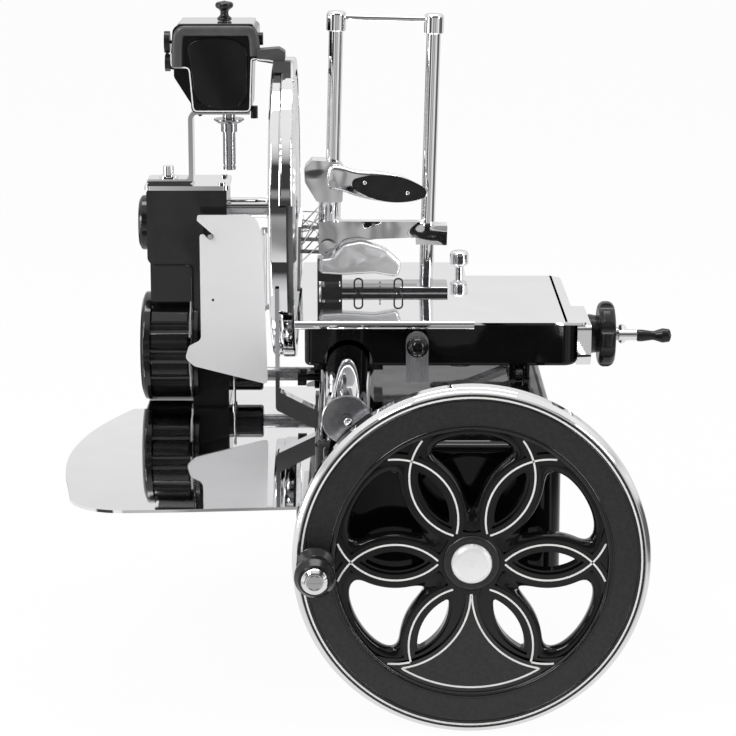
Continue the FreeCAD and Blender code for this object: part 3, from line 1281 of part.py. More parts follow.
def pear_lever():
    """Polished pear shaped lever that locks the press plate."""
    left = POST_LEFT_X
    y0, y1 = POST_Y - 40, POST_Y - 24 - SLIDE_GAP
    points = [
        (left - 13, 234), (left + 15, 233), (left + 50, 236), (left + 76, 232), (left + 81, 247),
        (left + 60, 265),
        (left + 34, 272), (left + 14, 267), (left + 1, 252), (left - 13, 250),
    ]
    body = prism_y(points, [6, 30, 30, 6, 9, 24, 20, 12, 8, 6], y0, y1)
    front = edges_where(body, lambda e: abs(e.CenterOfMass.y - y0) < 0.01)
    body = body.makeFillet(4.0, front)
    return leaning(body.cut(rod_y(PEAR_PIVOT_R + RUN_FIT, y0 + 3, y1, left, PEAR_PIVOT_Z)))


# ---- blade and guard -------------------------------------------------------------------------
def blade():
    """Dished round knife: flat cutting face on the right, bevel behind its edge."""
    points = [
        (BLADE_SHAFT_R, 0), (60, 0), (64, 3), (BLADE_R - 22, 3), (BLADE_R, 0), (
            BLADE_R - 9, BLADE_THICK + 1,
        ),
        (BLADE_R - 24, BLADE_THICK + 4), (62, BLADE_THICK + 4), (56, BLADE_THICK + 3), (
            BLADE_SHAFT_R, BLADE_THICK + 3,
        ),
    ]
    return turned(points, 0, V(BLADE_X1, BLADE_Y, BLADE_Z), V(-1, 0, 0))


def blade_spindle():
    """Blade shaft with the small chain wheel, the flange behind the blade and the cap before it."""
    shaft = rod_x(BLADE_SHAFT_R, CHAIN_X - SPROCKET_THICK, BLADE_X1, BLADE_Y, BLADE_Z)
    wheel = turn_to(sprocket(TOP_SPROCKET_TEETH, 2), V(1, 0, 0), V(CHAIN_X, BLADE_Y, BLADE_Z))
    flange = rod_x(24, BLADE_X1 - BLADE_THICK - 8, BLADE_X1 - BLADE_THICK - 3, BLADE_Y, BLADE_Z)
    cap = turned([(0, 0), (14, 0), (12, 1.5), (0, 1.5)], 0, V(BLADE_X1, BLADE_Y, BLADE_Z), V(1, 0, 0))
    return fuse([shaft, wheel, flange, cap])


def sector(from_deg, to_deg, radius, x0, x1):
    """Wedge about the blade shaft, with angles from +Y towards +Z."""
    steps = 4
    spots = [(BLADE_Y, BLADE_Z)]
    for i in range(steps + 1):
        angle = math.radians(from_deg + (to_deg - from_deg) * i / steps)
        spots.append((BLADE_Y + radius * math.cos(angle), BLADE_Z + radius * math.sin(angle)))
    return prism_x(spots, 0, x0, x1)


def blade_guard():
    """Ring round the blade's edge, open where the meat meets the knife."""
    inner = GUARD_R - GUARD_RING
    points = [
        (inner, 0), (GUARD_R, 0), (GUARD_R, GUARD_X1 - GUARD_X0), (inner - 1, GUARD_X1 - GUARD_X0),
        (inner - 1, GUARD_X1 - GUARD_X0 - GUARD_WALL),
        (GUARD_R - GUARD_WALL, GUARD_X1 - GUARD_X0 - GUARD_WALL), (GUARD_R - GUARD_WALL, GUARD_WALL),
        (inner, GUARD_WALL),
    ]
    ring = turned(points, [0, 3, 3, 0, 0, 0, 0, 0], V(GUARD_X0, BLADE_Y, BLADE_Z), V(1, 0, 0))
    return ring.cut(sector(GUARD_CUT_FROM, GUARD_CUT_TO, GUARD_R * 1.2, GUARD_X0, GUARD_X1))


def blade_cover():
    """Dished plate behind the blade, which carries the guard ring."""
    depth = GUARD_X0 - DISC_X0
    rim = GUARD_R - 2
    points = [
        (BLADE_SHAFT_R + 3, depth), (rim, depth), (rim, 3), (rim - 14, 1), (TUBE_R + 14, 0),
        (BLADE_SHAFT_R + 3, 0),
    ]
    disc = turned(points, [0, 0, 3, 3, 0, 0], V(DISC_X0, BLADE_Y, BLADE_Z), V(1, 0, 0))
    inside = [(0, depth), (rim - 5, depth), (rim - 5, 6), (rim - 16, 4), (0, 4)]
    hollow = turned(inside, 0, V(DISC_X0, BLADE_Y, BLADE_Z), V(1, 0, 0))
    collar = rod_x(TUBE_R + 6, TUBE_X1, DISC_X0 + 4, BLADE_Y, BLADE_Z).cut(
        rod_x(BLADE_SHAFT_R + 3, TUBE_X1, DISC_X0 + 4, BLADE_Y, BLADE_Z)
    )
    lip = tube_x(rim, rim - LIP_WALL, GUARD_X0, BLADE_X1 - LIP_BACK, BLADE_Y, BLADE_Z)
    lip = lip.common(sector(GUARD_CUT_FROM + 0.5, GUARD_CUT_TO - 0.5, GUARD_R * 1.2, GUARD_X0, GUARD_X1))
    return fuse([disc.cut(hollow), collar, lip])


def guard_strap():
    """Bent flat bar: down from the blade cover's near edge, then across to a foot on the base's side."""
    y0, y1 = STRAP_Y, STRAP_Y + STRAP_WIDE
    foot_x = MAIN_LEFT - 4
    points = [
        (STRAP_X - 4.5, 240), (STRAP_X, 240), (STRAP_X, 125), (foot_x, 105), (foot_x, 122),
        (MAIN_LEFT, 122),
        (MAIN_LEFT, 84), (foot_x, 84), (STRAP_X - 4.5, 105),
    ]
    strap = prism_y(points, [0, 0, 3, 2, 0, 0, 0, 2, 6], y0, y1)
    return strap.cut(rod_x(GUARD_R, DISC_X0 - 2, GUARD_X1 + 2, BLADE_Y, BLADE_Z))


# ---- deflector -------------------------------------------------------------------------------
def deflector():
    points = [
        (-241, 305), (-178, 305), (-169, 283), (-164.5, 112), (-247, 133), (-257, 142), (-253, 156),
        (-239, 163),
        (-239, 284), (-234, 283), (-229, 277), (-224, 283), (-242, 299),
    ]
    radii = [2.5, 12, 10, 4, 8, 6, 6, 8, 3, 2, 1, 2, 2.5]
    plate = prism_y(points, radii, DEFLECT_Y, DEFLECT_Y + DEFLECT_THICK)
    hinge = rod_z(HINGE_R, HINGE_Z0, HINGE_Z1, HINGE_X, HINGE_Y)
    hole = rod_y(1.5, DEFLECT_Y, DEFLECT_Y + DEFLECT_THICK, -225, 209)
    hook = rod_y(PIN_R + 2 * SLIDE_GAP, DEFLECT_Y, DEFLECT_Y + DEFLECT_THICK, PIN_X, PIN_Z)
    return fuse([plate, hinge]).cut(hook).cut(hole).cut(
        rod_z(HINGE_PIN_R + RUN_FIT, HINGE_Z0, HINGE_Z1, HINGE_X, HINGE_Y)
    )


def deflector_bracket():
    """Two arms on the back of the blade cover, with the deflector's upright hinge pin."""
    high = HINGE_ARM
    knuckle = HINGE_R - 1.2
    behind = HINGE_Y + 6.5
    parts = [rod_z(HINGE_PIN_R, HINGE_Z0 - high, HINGE_Z1 + high, HINGE_X, HINGE_Y)]
    for z in (HINGE_Z0 - high - SLIDE_GAP, HINGE_Z1 + SLIDE_GAP):
        parts.append(rod_z(knuckle, z, z + high, HINGE_X, HINGE_Y))
        parts.append(box(HINGE_X - knuckle, HINGE_X + knuckle, HINGE_Y, behind + 6, z, z + high))
        parts.append(box(HINGE_X - knuckle, DISC_X0 + 4, behind, behind + 6, z, z + high))
    return fuse(parts).cut(blade_cover())


# ---- sharpener -------------------------------------------------------------------------------
def sharpener_outline(top, corner):
    """Front outline of the housing, from its left step round to the arched top."""
    step, shoulder = SHARP_BOTTOM + SHARP_STEP, SHARP_BOTTOM + SHARP_SHOULDER
    points = [
        (-270.5, step), (-251, step), (-247, SHARP_BOTTOM), (-181, SHARP_BOTTOM), (-179, shoulder),
        (SHARP_X1, shoulder), (SHARP_X1, top), (-266.5, top),
    ]
    return points, [3, 2, 6, 6, 2, 2, corner, corner]


def sharpener_housing():
    """Cast housing: raised frame at the front, a sunk panel in it, and a gusset behind its left step."""
    y0, y1 = SHARP_Y - SHARP_HALF_Y, SHARP_Y + SHARP_HALF_Y
    points, radii = sharpener_outline(SHARP_TOP + FRAME_PROUD, 9)
    frame = prism_y(points, radii, y0, y0 + 6)
    points, radii = sharpener_outline(SHARP_TOP, 7)
    body = prism_y(points, radii, y0 + 6, y1)
    low = SHARP_BOTTOM
    gusset = prism_y(
        [
            (-270.5, low + 50), (-270.5, low + 33), (-242, low - 12.5), (-237, low - 8),
            (-240, low + 24), (-240, low + 50),
        ],
        [3, 6, 2, 2, 0, 0],
        y1 - 22,
        y1 - 12,
    )
    knob = rod_x(7, SHARP_X1 - 2, SHARP_X1 + 6.5, SHARP_Y - 30, low + 81)
    bolt = rod_z(4, low - 11, low + 3, -179.5, SHARP_Y)
    stud = rod_x(STUD_R, -276, -262, TRIGGER_Y, TRIGGER_Z)
    panel = [
        (-254, SHARP_TOP - 10), (-183, SHARP_TOP - 10), (-185.5, low + 11), (-242.5, low + 11),
        (-246, low + 47), (-254, low + 47),
    ]
    recess = prism_y(panel, [5, 5, 6, 6, 2, 2], y0, y0 + 3)
    bore = rod_z(SPINDLE_R + RUN_FIT, SHARP_BOTTOM, SPINDLE_TOP + PLUNGER_TRAVEL + 2, SPINDLE_X, SHARP_Y)
    stem_hole = rod_z(STEM_R + RUN_FIT, SPINDLE_TOP, SHARP_TOP, KNOB_X, SHARP_Y)
    return fuse([body, frame, gusset, knob, bolt, stud]).cut(recess).cut(bore).cut(stem_hole)


def sharpener_cover():
    """Polished lid behind the housing's raised frame."""
    y0, y1 = SHARP_Y - SHARP_HALF_Y + 6, SHARP_Y + SHARP_HALF_Y
    plate = prism_y(
        [(-262, SHARP_TOP), (-178, SHARP_TOP), (-178, LID_TOP), (-262, LID_TOP)], [0, 0, 2.5, 2.5], y0,
        y1,
    )
    return plate.cut(rod_z(STEM_R + RUN_FIT, SHARP_TOP, LID_TOP, KNOB_X, SHARP_Y))


def sharpener_plunger():
    """Plunger that runs through the housing: knob on top, the stone's steel shank below."""
    top = LID_TOP + SLIDE_GAP
    points = [(0, 0), (8, 0), (8, 3), (4.5, 6), (4.5, 11), (10, 15), (10, 20), (0, 22)]
    knob = turned(points, [0, 1, 1, 4, 4, 2, 3, 0], V(KNOB_X, SHARP_Y, top), V(0, 0, 1))
    stem = rod_z(STEM_R, SPINDLE_TOP, top, KNOB_X, SHARP_Y)
    low = SHARP_BOTTOM - SHANK_DROP
    shaft = rod_z(SPINDLE_R, low, SPINDLE_TOP, SPINDLE_X, SHARP_Y)
    seat = SHARP_BOTTOM - 16
    collar = rod_z(9, seat - 10, seat, SPINDLE_X, SHARP_Y)
    washer = turned(
        [(0, 0), (13, 0), (17, 3), (17, 4.5), (0, 4.5)], 0, V(SPINDLE_X, SHARP_Y, seat), V(0, 0, 1),
    )
    groove = tube_z(SPINDLE_R + 1, SPINDLE_R - 1, low + 4, low + 6, SPINDLE_X, SHARP_Y)
    return fuse([knob, stem, shaft, collar, washer]).cut(groove)


def sharpener_bracket():
    """Flat bar bent twice: from under the housing down to the column's cap."""
    y0, y1 = SHARP_Y - 16, SHARP_Y + 16
    foot_z = COL_TOP + CAP_THICK
    points = [
        (-184, SHARP_BOTTOM), (-184, SHARP_BOTTOM - 5), (-248, SHARP_BOTTOM - 5), (-248, foot_z),
        (-300, foot_z),
        (-300, foot_z + 5), (-253, foot_z + 5), (-253, SHARP_BOTTOM),
    ]
    bar = prism_y(points, [0, 0, 6, 5, 2, 2, 4, 11], y0, y1)
    return bar.cut(rod_z(SPINDLE_R + SIDE_GAP, SHARP_BOTTOM - 6, SHARP_BOTTOM, SPINDLE_X, SHARP_Y))


def sharpener_arm():
    """Arm from the housing to the block that sits on the near side of the guard."""
    y0 = SHARP_Y - 46
    low = SHARP_BOTTOM + SHARP_SHOULDER
    points = [
        (SHARP_X1, low), (SHARP_X1, low + 12), (-150, low + 14), (-143, low + 10), (-143, low),
        (-150, low - 4),
    ]
    arm = prism_y(points, [0, 0, 4, 4, 4, 4], y0, y0 + 24)
    corners = [(-156, low - 16), (-137, low - 16), (-137, low), (-156, low)]
    block = prism_y(corners, [5, 2, 0, 0], y0 - 4, y0 + 10)
    return fuse([arm, block]).cut(rod_x(GUARD_R, DISC_X0 - 10, GUARD_X1 + 10, BLADE_Y, BLADE_Z))


def sharpener_trigger():
    """Two round plates at the left of the housing: the lower one hangs on the upper one's pivot."""
    x0, x1 = -277, -271
    upper = rod_x(12, x0, x1, TRIGGER_Y, TRIGGER_Z)
    low = TRIGGER_Z - TRIGGER_DROP
    lower = rod_x(9.5, x0 + 0.5, x1, TRIGGER_Y, low)
    link = box(x0 + 1.5, x1 - 1.5, TRIGGER_Y - 4, TRIGGER_Y + 4, low, TRIGGER_Z)
    return fuse([upper, lower, link]).cut(rod_x(STUD_R + RUN_FIT, x0, x1, TRIGGER_Y, TRIGGER_Z))


# ---- small hardware --------------------------------------------------------------------------
def screws():
    """Screws that show: column cap, bracket foot and sharpener cover."""
    heads = []
    for y in (BLADE_Y - 28, BLADE_Y + 28):
        heads.append(rod_z(4, COL_TOP + CAP_THICK, COL_TOP + CAP_THICK + 2.5, COL_X1 - 6, y))
    foot_z = COL_TOP + CAP_THICK + 5
    washer = rod_z(11, foot_z, foot_z + 2, -277, SHARP_Y)
    bolt = rod_z(6, foot_z + 2, foot_z + 13, -277, SHARP_Y)
    heads.append(washer.fuse(bolt))
    return heads


def release_lever():
    """Steel tongue under the table's rail, through which the release knob's shank runs."""
    y1 = CAR_Y0 - TONGUE_AHEAD
    y0 = y1 - TONGUE_THICK
    points = [(-11, 146), (13, 146), (13, 201), (-11, 201)]
    plate = prism_y(points, [2, 2, 11.9, 11.9], y0, y1)
    hub = rod_y(RELEASE_R + 3, y1, CAR_Y0, RELEASE_X, RELEASE_Z)
    return plate.fuse(hub).cut(rod_y(RELEASE_R + RUN_FIT, y0, CAR_Y0, RELEASE_X, RELEASE_Z))


def release_knob():
    """Ball knob that is pulled out to free the carriage from its drive."""
    face = CAR_Y0 - TONGUE_AHEAD - TONGUE_THICK - SLIDE_GAP
    ball = Part.makeSphere(11.5, V(RELEASE_X, face - 14, RELEASE_Z))
    neck = rod_y(RELEASE_R + 3, face - 8, face, RELEASE_X, RELEASE_Z)
    shank = rod_y(RELEASE_R, face - 8, CAR_Y0 - SLIDE_GAP, RELEASE_X, RELEASE_Z)
    return fuse([ball, neck, shank])


def hanger_pin():
    """Pin on the column that the deflector's hook rests on."""
    return rod_y(PIN_R, DEFLECT_Y - 4, BLADE_Y - COL_HALF_Y, PIN_X, PIN_Z)


def tray_stay():
    """Thin upright stay on the tray, behind the deflector, with a small collar at its foot."""
    foot = rod_z(3, TRAY_Z, TRAY_Z + 6, STAY_X, STAY_Y)
    return foot.fuse(rod_z(1.5, TRAY_Z, STAY_TOP, STAY_X, STAY_Y))


def build_root():
    return {
        "base_casting": [base_casting()],
        "base_cover": [base_cover()],
        "deck_plate": [deck_plate()],
        "receiving_tray": [receiving_tray()],
        "drive_column": [drive_column()],
        "column_cap": [column_cap()],
        "upper_round_cover": [round_cover(UPPER_COVER_R, UPPER_COVER_Z, COL_X0)],
        "blade_shaft_housing": [blade_shaft_housing()],
        "shaft_bushes": shaft_bushes(),
        "drive_chain": [drive_chain()],
        "guide_rod": [guide_rod()],
        "guide_rod_caps": rod_caps(),
        "blade_guard": [blade_guard()],
        "blade_cover": [blade_cover()],
        "guard_strap": [guard_strap()],
        "deflector_bracket": [deflector_bracket()],
        "screws_and_pins": screws() + [hanger_pin(), tray_stay()],
        "sharpener_housing": [sharpener_housing()],
        "sharpener_cover": [sharpener_cover()],
        "sharpener_bracket": [sharpener_bracket()],
        "sharpener_arm": [sharpener_arm()],
    }


def build_drive():
    return {
        "flywheel": [flywheel()],
        "flywheel_rim": [flywheel_rim()],
        "flywheel_hub_cap": [hub_cap()],
        "flywheel_shaft": [flywheel_shaft()],
        "handle_pin": [handle_pin()],
        "handle_grip": [handle_grip()],
        "crank": [crank()],
        "bevel_wheels": bevel_wheels(),
        "connecting_rod": [connecting_rod()],
        "cross_shaft": [cross_shaft()],
        "blade": [blade()],
        "blade_spindle": [blade_spindle()],
        "thickness_wheel": [thickness_wheel(), thickness_dial()],
        "deflector": [deflector()],
        "sharpener_plunger": [sharpener_plunger()],
        "sharpener_trigger": [sharpener_trigger()],
    }


def build_carriage():
    return {
        "carriage_body": [carriage_body()],
        "carriage_cover": [carriage_cover()],
        "rod_sleeve": [rod_sleeve()],
        "carriage_end_block": [carriage_end_block()],
        "support_roller": [support_roller()],
        "release_lever": [release_lever()],
        "release_knob": [release_knob()],
        "feed_screw": [feed_screw()],
        "feed_handwheel": [feed_handwheel()],
        "handwheel_boss": [handwheel_boss()],
        "feed_grip": [feed_grip()],
        "meat_table": [meat_table()],
        "feed_nut": [feed_nut()],
        "table_rail": [table_rail()],
        "table_knob": [table_knob()],
        "meat_posts": meat_posts(),
        "post_bridge": [post_bridge()],
        "post_bar": [post_bar()],
        "clamp_slider": [clamp_slider()],
        "press_plate": [press_plate()],
        "clamp_handle": [clamp_handle()],
        "grip_scale": [grip_scale()],
        "pear_lever": [pear_lever()],
    }


os.makedirs(PARTS_FOLDER, exist_ok=True)
for nodes in (build_root(), build_drive(), build_carriage()):
    for node, shapes in nodes.items():
        save(node, shapes)
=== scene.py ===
import json
import math

import bmesh
import bpy
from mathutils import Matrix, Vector


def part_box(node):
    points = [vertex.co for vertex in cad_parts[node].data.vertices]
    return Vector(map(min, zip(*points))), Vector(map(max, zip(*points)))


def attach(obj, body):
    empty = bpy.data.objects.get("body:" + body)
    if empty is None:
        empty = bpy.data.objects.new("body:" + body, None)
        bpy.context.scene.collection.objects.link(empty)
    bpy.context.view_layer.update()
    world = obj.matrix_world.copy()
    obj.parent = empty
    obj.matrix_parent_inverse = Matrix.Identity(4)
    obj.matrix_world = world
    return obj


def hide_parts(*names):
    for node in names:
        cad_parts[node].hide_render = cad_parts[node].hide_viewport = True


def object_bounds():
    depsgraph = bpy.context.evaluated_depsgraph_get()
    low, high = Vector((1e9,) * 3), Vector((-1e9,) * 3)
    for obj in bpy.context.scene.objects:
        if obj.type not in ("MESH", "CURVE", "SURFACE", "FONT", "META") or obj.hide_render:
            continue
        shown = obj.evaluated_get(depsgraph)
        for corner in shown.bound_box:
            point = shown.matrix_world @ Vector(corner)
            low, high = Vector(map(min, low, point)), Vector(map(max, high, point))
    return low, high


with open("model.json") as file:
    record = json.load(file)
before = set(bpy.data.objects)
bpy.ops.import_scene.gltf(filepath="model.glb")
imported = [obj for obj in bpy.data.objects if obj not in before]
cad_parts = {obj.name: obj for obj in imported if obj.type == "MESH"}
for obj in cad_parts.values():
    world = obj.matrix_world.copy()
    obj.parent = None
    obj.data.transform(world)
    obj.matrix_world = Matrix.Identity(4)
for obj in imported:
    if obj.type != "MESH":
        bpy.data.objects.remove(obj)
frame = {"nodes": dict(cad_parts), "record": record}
cad_low, cad_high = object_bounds()
nodes = frame["nodes"]

# ---- driving sizes, in metres and in the frame of the CAD model ------------------------------
# Flywheel: its axis runs along Y through (FLY_X, FLY_Z), and its ring's face stands at FLY_FACE_Y.
FLY_X, FLY_Z = 0.050, 0.0285
FLY_FACE_Y = -0.320
FLY_LINE_Y = FLY_FACE_Y + 0.0025
PETALS = 6
SOLID_PETAL = 3         # the petal that the bell panel fills
PETAL_CENTRE, PETAL_R = 0.0865, 0.0615
PETAL_RIB = 0.0085
OPENING_MIDDLE = 0.098
OPENING_RING, OPENING_HUB = 0.130, 0.0325
# Section of an opening's lining: inward growth, depth behind the ring's face, corner rounding.
LINING = (
    (-0.0035, 0.0042, 0.008), (-0.0015, 0.0041, 0.010), (-0.0003, 0.0048, 0.013), (0.0006, 0.0064, 0.016),
    (0.0011, 0.0088, 0.018), (0.0011, 0.0180, 0.018), (0.0006, 0.0208, 0.016), (-0.0035, 0.0208, 0.010),
)
LINE_FROM, LINE_TO = 0.0325, 0.133              # reach of the petals' lines from the axis
RING_LINE_R = 0.1672
BEADS = ((0.1380, 0.0022, 0.0018), (0.1640, 0.0014, 0.0012))    # radius, half width, height
SATIN_RING_R, SATIN_HUB_R = 0.1345, 0.0275      # satin outside the first and inside the second
BELL_SIDE_X, BELL_SIDE_DROP, BELL_SIDE_R = 0.0795, 0.031, 0.079    # circles beside the bell
BELL_RING_R = 0.129
BELL_LINE_DROP = 0.033                          # top of the bell's line below the axis
BELL_PANEL_DROP, BELL_PANEL_HALF = 0.034, 0.0700
BELL_MARGIN = 0.0045                            # satin beyond the bell's line

# Sharpener, drive column and sliding meat table.
SHARP_FACE_Y, SHARP_ARM_Y = 0.110, 0.104
PLUNGER_KNOB_Z = 0.5146
COLUMN_FACE_Y = 0.118
COLUMN_LEFT_X, COLUMN_RIGHT_X, COLUMN_BEAD_Z = -0.2965, -0.2120, 0.3305
ARCH_LEFT_X, ARCH_X, ARCH_TOP_Z = -0.2930, -0.2500, 0.2440
COLUMN_BEAD_R, ARCH_BEAD_R = 0.0018, 0.0016
ARCH_FLAT_Z = 0.1950                            # the arch stays flat down to here
ARCH_STEP, ARCH_STEPS = 0.0042, 24              # then it follows the round chain case
CASE_Y, CASE_Z, CASE_R = 0.162, 0.142, 0.067
SCREW_X, SCREW_Z = -0.0712, 0.1610
TABLE_Z = 0.211
POST_LEFT_X, POST_Y = -0.095, 0.150
POST_LEAN = math.radians(1.5)
BAR_RIGHT_X = 0.0375
BAR_FRONT_Y = POST_Y - 0.0342
FOOT_HALF, FOOT_PROUD, FOOT_HIGH = 0.0125, 0.0035, 0.0120    # rounded foot of the left post
FOOT_BACK_Y = POST_Y - 0.0235
HANDLE_BACK_Y, HANDLE_EDGE_Y, HANDLE_FRONT_Y = POST_Y - 0.0173, POST_Y - 0.0200, POST_Y - 0.0255
SCALE_FACE_Y = POST_Y - 0.0293                  # dark scale on the clamp's handle
SCALE_MIDDLE = (0.064, 0.331)                   # from the left post, and height
SCALE_TURN = math.radians(6)
RIVETS = ((0.036, 0.334), (0.085, 0.329))
RIVET_R, SCREW_R = 0.0023, 0.0042

PAINT = 0.0004          # half thickness of a painted line
LINE_HALF = 0.0009      # half width of the flywheel's lines
SHARP_LINE_HALF = 0.0007
SUNK = 0.0006           # how far a bead's middle lies behind the face that it sits on


# ---- node helpers ----------------------------------------------------------------------------
def new_material(name):
    mat = bpy.data.materials.new(name)
    mat.use_nodes = True
    tree = mat.node_tree
    return mat, tree, tree.nodes["Principled BSDF"]


def link(tree, a, out, b, inp):
    tree.links.new(a.outputs[out], b.inputs[inp])


def add(tree, kind, **values):
    """New node, with values for its sockets or its own settings."""
    node = tree.nodes.new(kind)
    for key, value in values.items():
        if key in node.inputs:
            node.inputs[key].default_value = value
        else:
            setattr(node, key, value)
    return node


def position(tree, stretch=(1, 1, 1)):
    """Object coordinates in metres, stretched along an axis for brushed or drawn metal."""
    mapping = add(tree, "ShaderNodeMapping", Scale=stretch)
    link(tree, tree.nodes.new("ShaderNodeTexCoord"), "Object", mapping, "Vector")
    return mapping


def axes_of(tree, output="Object"):
    """X, Y and Z of a place on an object, or of a direction in the world."""
    axes = tree.nodes.new("ShaderNodeSeparateXYZ")
    link(tree, tree.nodes.new("ShaderNodeTexCoord"), output, axes, "Vector")
    return axes


def distance_from(tree, place, scale):
    """Distance of a place on an object from another one, along the axes that scale keeps."""
    moved = add(tree, "ShaderNodeMapping", Location=[-a * b for a, b in zip(place, scale)], Scale=scale)
    link(tree, tree.nodes.new("ShaderNodeTexCoord"), "Object", moved, "Vector")
    length = add(tree, "ShaderNodeVectorMath", operation="LENGTH")
    link(tree, moved, "Vector", length, 0)
    return length


def noise(tree, source, scale, detail=4.0, rough=0.5):
    node = add(tree, "ShaderNodeTexNoise", Scale=scale, Detail=detail, Roughness=rough)
    link(tree, source, "Vector", node, "Vector")
    return node


def map_range(tree, source, output, from_range=(0.0, 1.0), to_range=(0.0, 1.0), soft=False):
    """Maps a value from one range to another, with soft ends if asked."""
    node = tree.nodes.new("ShaderNodeMapRange")
    if soft:
        node.interpolation_type = "SMOOTHSTEP"
    node.inputs["From Min"].default_value, node.inputs["From Max"].default_value = from_range
    node.inputs["To Min"].default_value, node.inputs["To Max"].default_value = to_range
    link(tree, source, output, node, "Value")
    return node


def mixed(tree, factor, factor_out, a, b):
    """Blends from a to b, where each is a colour, or a node and its output."""
    node = add(tree, "ShaderNodeMix", data_type="RGBA")
    for socket, source in (("A", a), ("B", b)):
        if isinstance(source[0], float):
            node.inputs[socket].default_value = (*source, 1)
        else:
            link(tree, *source, node, socket)
    link(tree, factor, factor_out, node, "Factor")
    return node


def mixed_shaders(tree, factor, factor_out, first, second):
    node = tree.nodes.new("ShaderNodeMixShader")
    link(tree, factor, factor_out, node, "Fac")
    link(tree, first, 0, node, 1)
    link(tree, second, 0, node, 2)
    return node


def combined(tree, a, b, operation="MULTIPLY", a_out="Value", b_out="Value"):
    """Math on the outputs of two nodes."""
    node = add(tree, "ShaderNodeMath", operation=operation)
    link(tree, a, a_out, node, 0)
    link(tree, b, b_out, node, 1)
    return node


def compare(tree, source, output, operation, value):
    """Math on a node's output and a plain number."""
    node = add(tree, "ShaderNodeMath", operation=operation)
    node.inputs[1].default_value = value
    link(tree, source, output, node, 0)
    return node


def bump(tree, height_node, onto, strength, distance):
    """Bump from a noise, laid on the normal of a shader or of a finer bump."""
    node = add(tree, "ShaderNodeBump", Strength=strength, Distance=distance)
    link(tree, height_node, "Fac", node, "Height")
    link(tree, node, "Normal", onto, "Normal")
    return node


# ---- materials -------------------------------------------------------------------------------
NOISE_BAND = (0.35, 0.65)       # where most of a noise's values lie
BRIGHT, BRIGHT_LOW = (0.88, 0.88, 0.89), (0.84, 0.84, 0.85)


def enamel(name, colour, lighter, rough=0.1, ior=1.3, peel=0.05, wave=0.0012):
    """Deep gloss enamel: low waves, faint orange peel and a trace of dust in the colour."""
    mat, tree, bsdf = new_material(name)
    where = position(tree)
    dust = map_range(tree, noise(tree, where, 60.0, 6.0, 0.6), "Fac", (0.45, 0.8))
    link(tree, mixed(tree, dust, "Result", colour, lighter), "Result", bsdf, "Base Color")
    shine = map_range(tree, noise(tree, where, 25.0, 3.0), "Fac", NOISE_BAND, (rough * 0.8, rough * 1.25))
    link(tree, shine, "Result", bsdf, "Roughness")
    fine = bump(tree, noise(tree, where, 420.0, 2.0), bsdf, peel, 0.0004)
    bump(tree, noise(tree, where, 16.0, 1.0), fine, 1.0, wave)
    bsdf.inputs["IOR"].default_value = ior
    return mat


def polished(
    name, colour, darker, rough, stretch=(1, 1, 1), scratch=0.03, grain=180.0, wave=0.0, metal=1.0, vary=0.4
):
    """Polished metal: soft haze, faint wiping marks along one direction, and the low waves that
    hand polishing leaves on a casting."""
    mat, tree, bsdf = new_material(name)
    bsdf.inputs["Metallic"].default_value = metal
    plain = position(tree)
    haze = map_range(tree, noise(tree, plain, 14.0, 4.0, 0.55), "Fac", NOISE_BAND)
    link(tree, mixed(tree, haze, "Result", darker, colour), "Result", bsdf, "Base Color")
    marks = noise(tree, position(tree, stretch), grain, 5.0, 0.65)
    shine = map_range(tree, marks, "Fac", (0.25, 0.75), (rough * (1 - vary), rough * (1 + vary)))
    link(tree, shine, "Result", bsdf, "Roughness")
    fine = bump(tree, marks, bsdf, scratch, 0.0003)
    if wave:
        bump(tree, noise(tree, plain, 22.0, 1.0), fine, 1.0, wave)
    return mat


def black_above(mat, height):
    """Makes a metal black and dull above a height, for a knob on a steel shank."""
    tree = mat.node_tree
    bsdf = tree.nodes["Principled BSDF"]
    above = compare(tree, axes_of(tree), "Z", "GREATER_THAN", height)
    for name, value in (("Base Color", (0.006, 0.006, 0.006, 1)), ("Metallic", 0.0), ("Roughness", 0.25)):
        socket = bsdf.inputs[name]
        mix = add(tree, "ShaderNodeMix", data_type="RGBA" if name == "Base Color" else "FLOAT")
        if socket.links:
            tree.links.new(socket.links[0].from_socket, mix.inputs["A"])
        else:
            mix.inputs["A"].default_value = socket.default_value
        mix.inputs["B"].default_value = value
        link(tree, above, "Value", mix, "Factor")
        link(tree, mix, "Result", bsdf, name)
    return mat


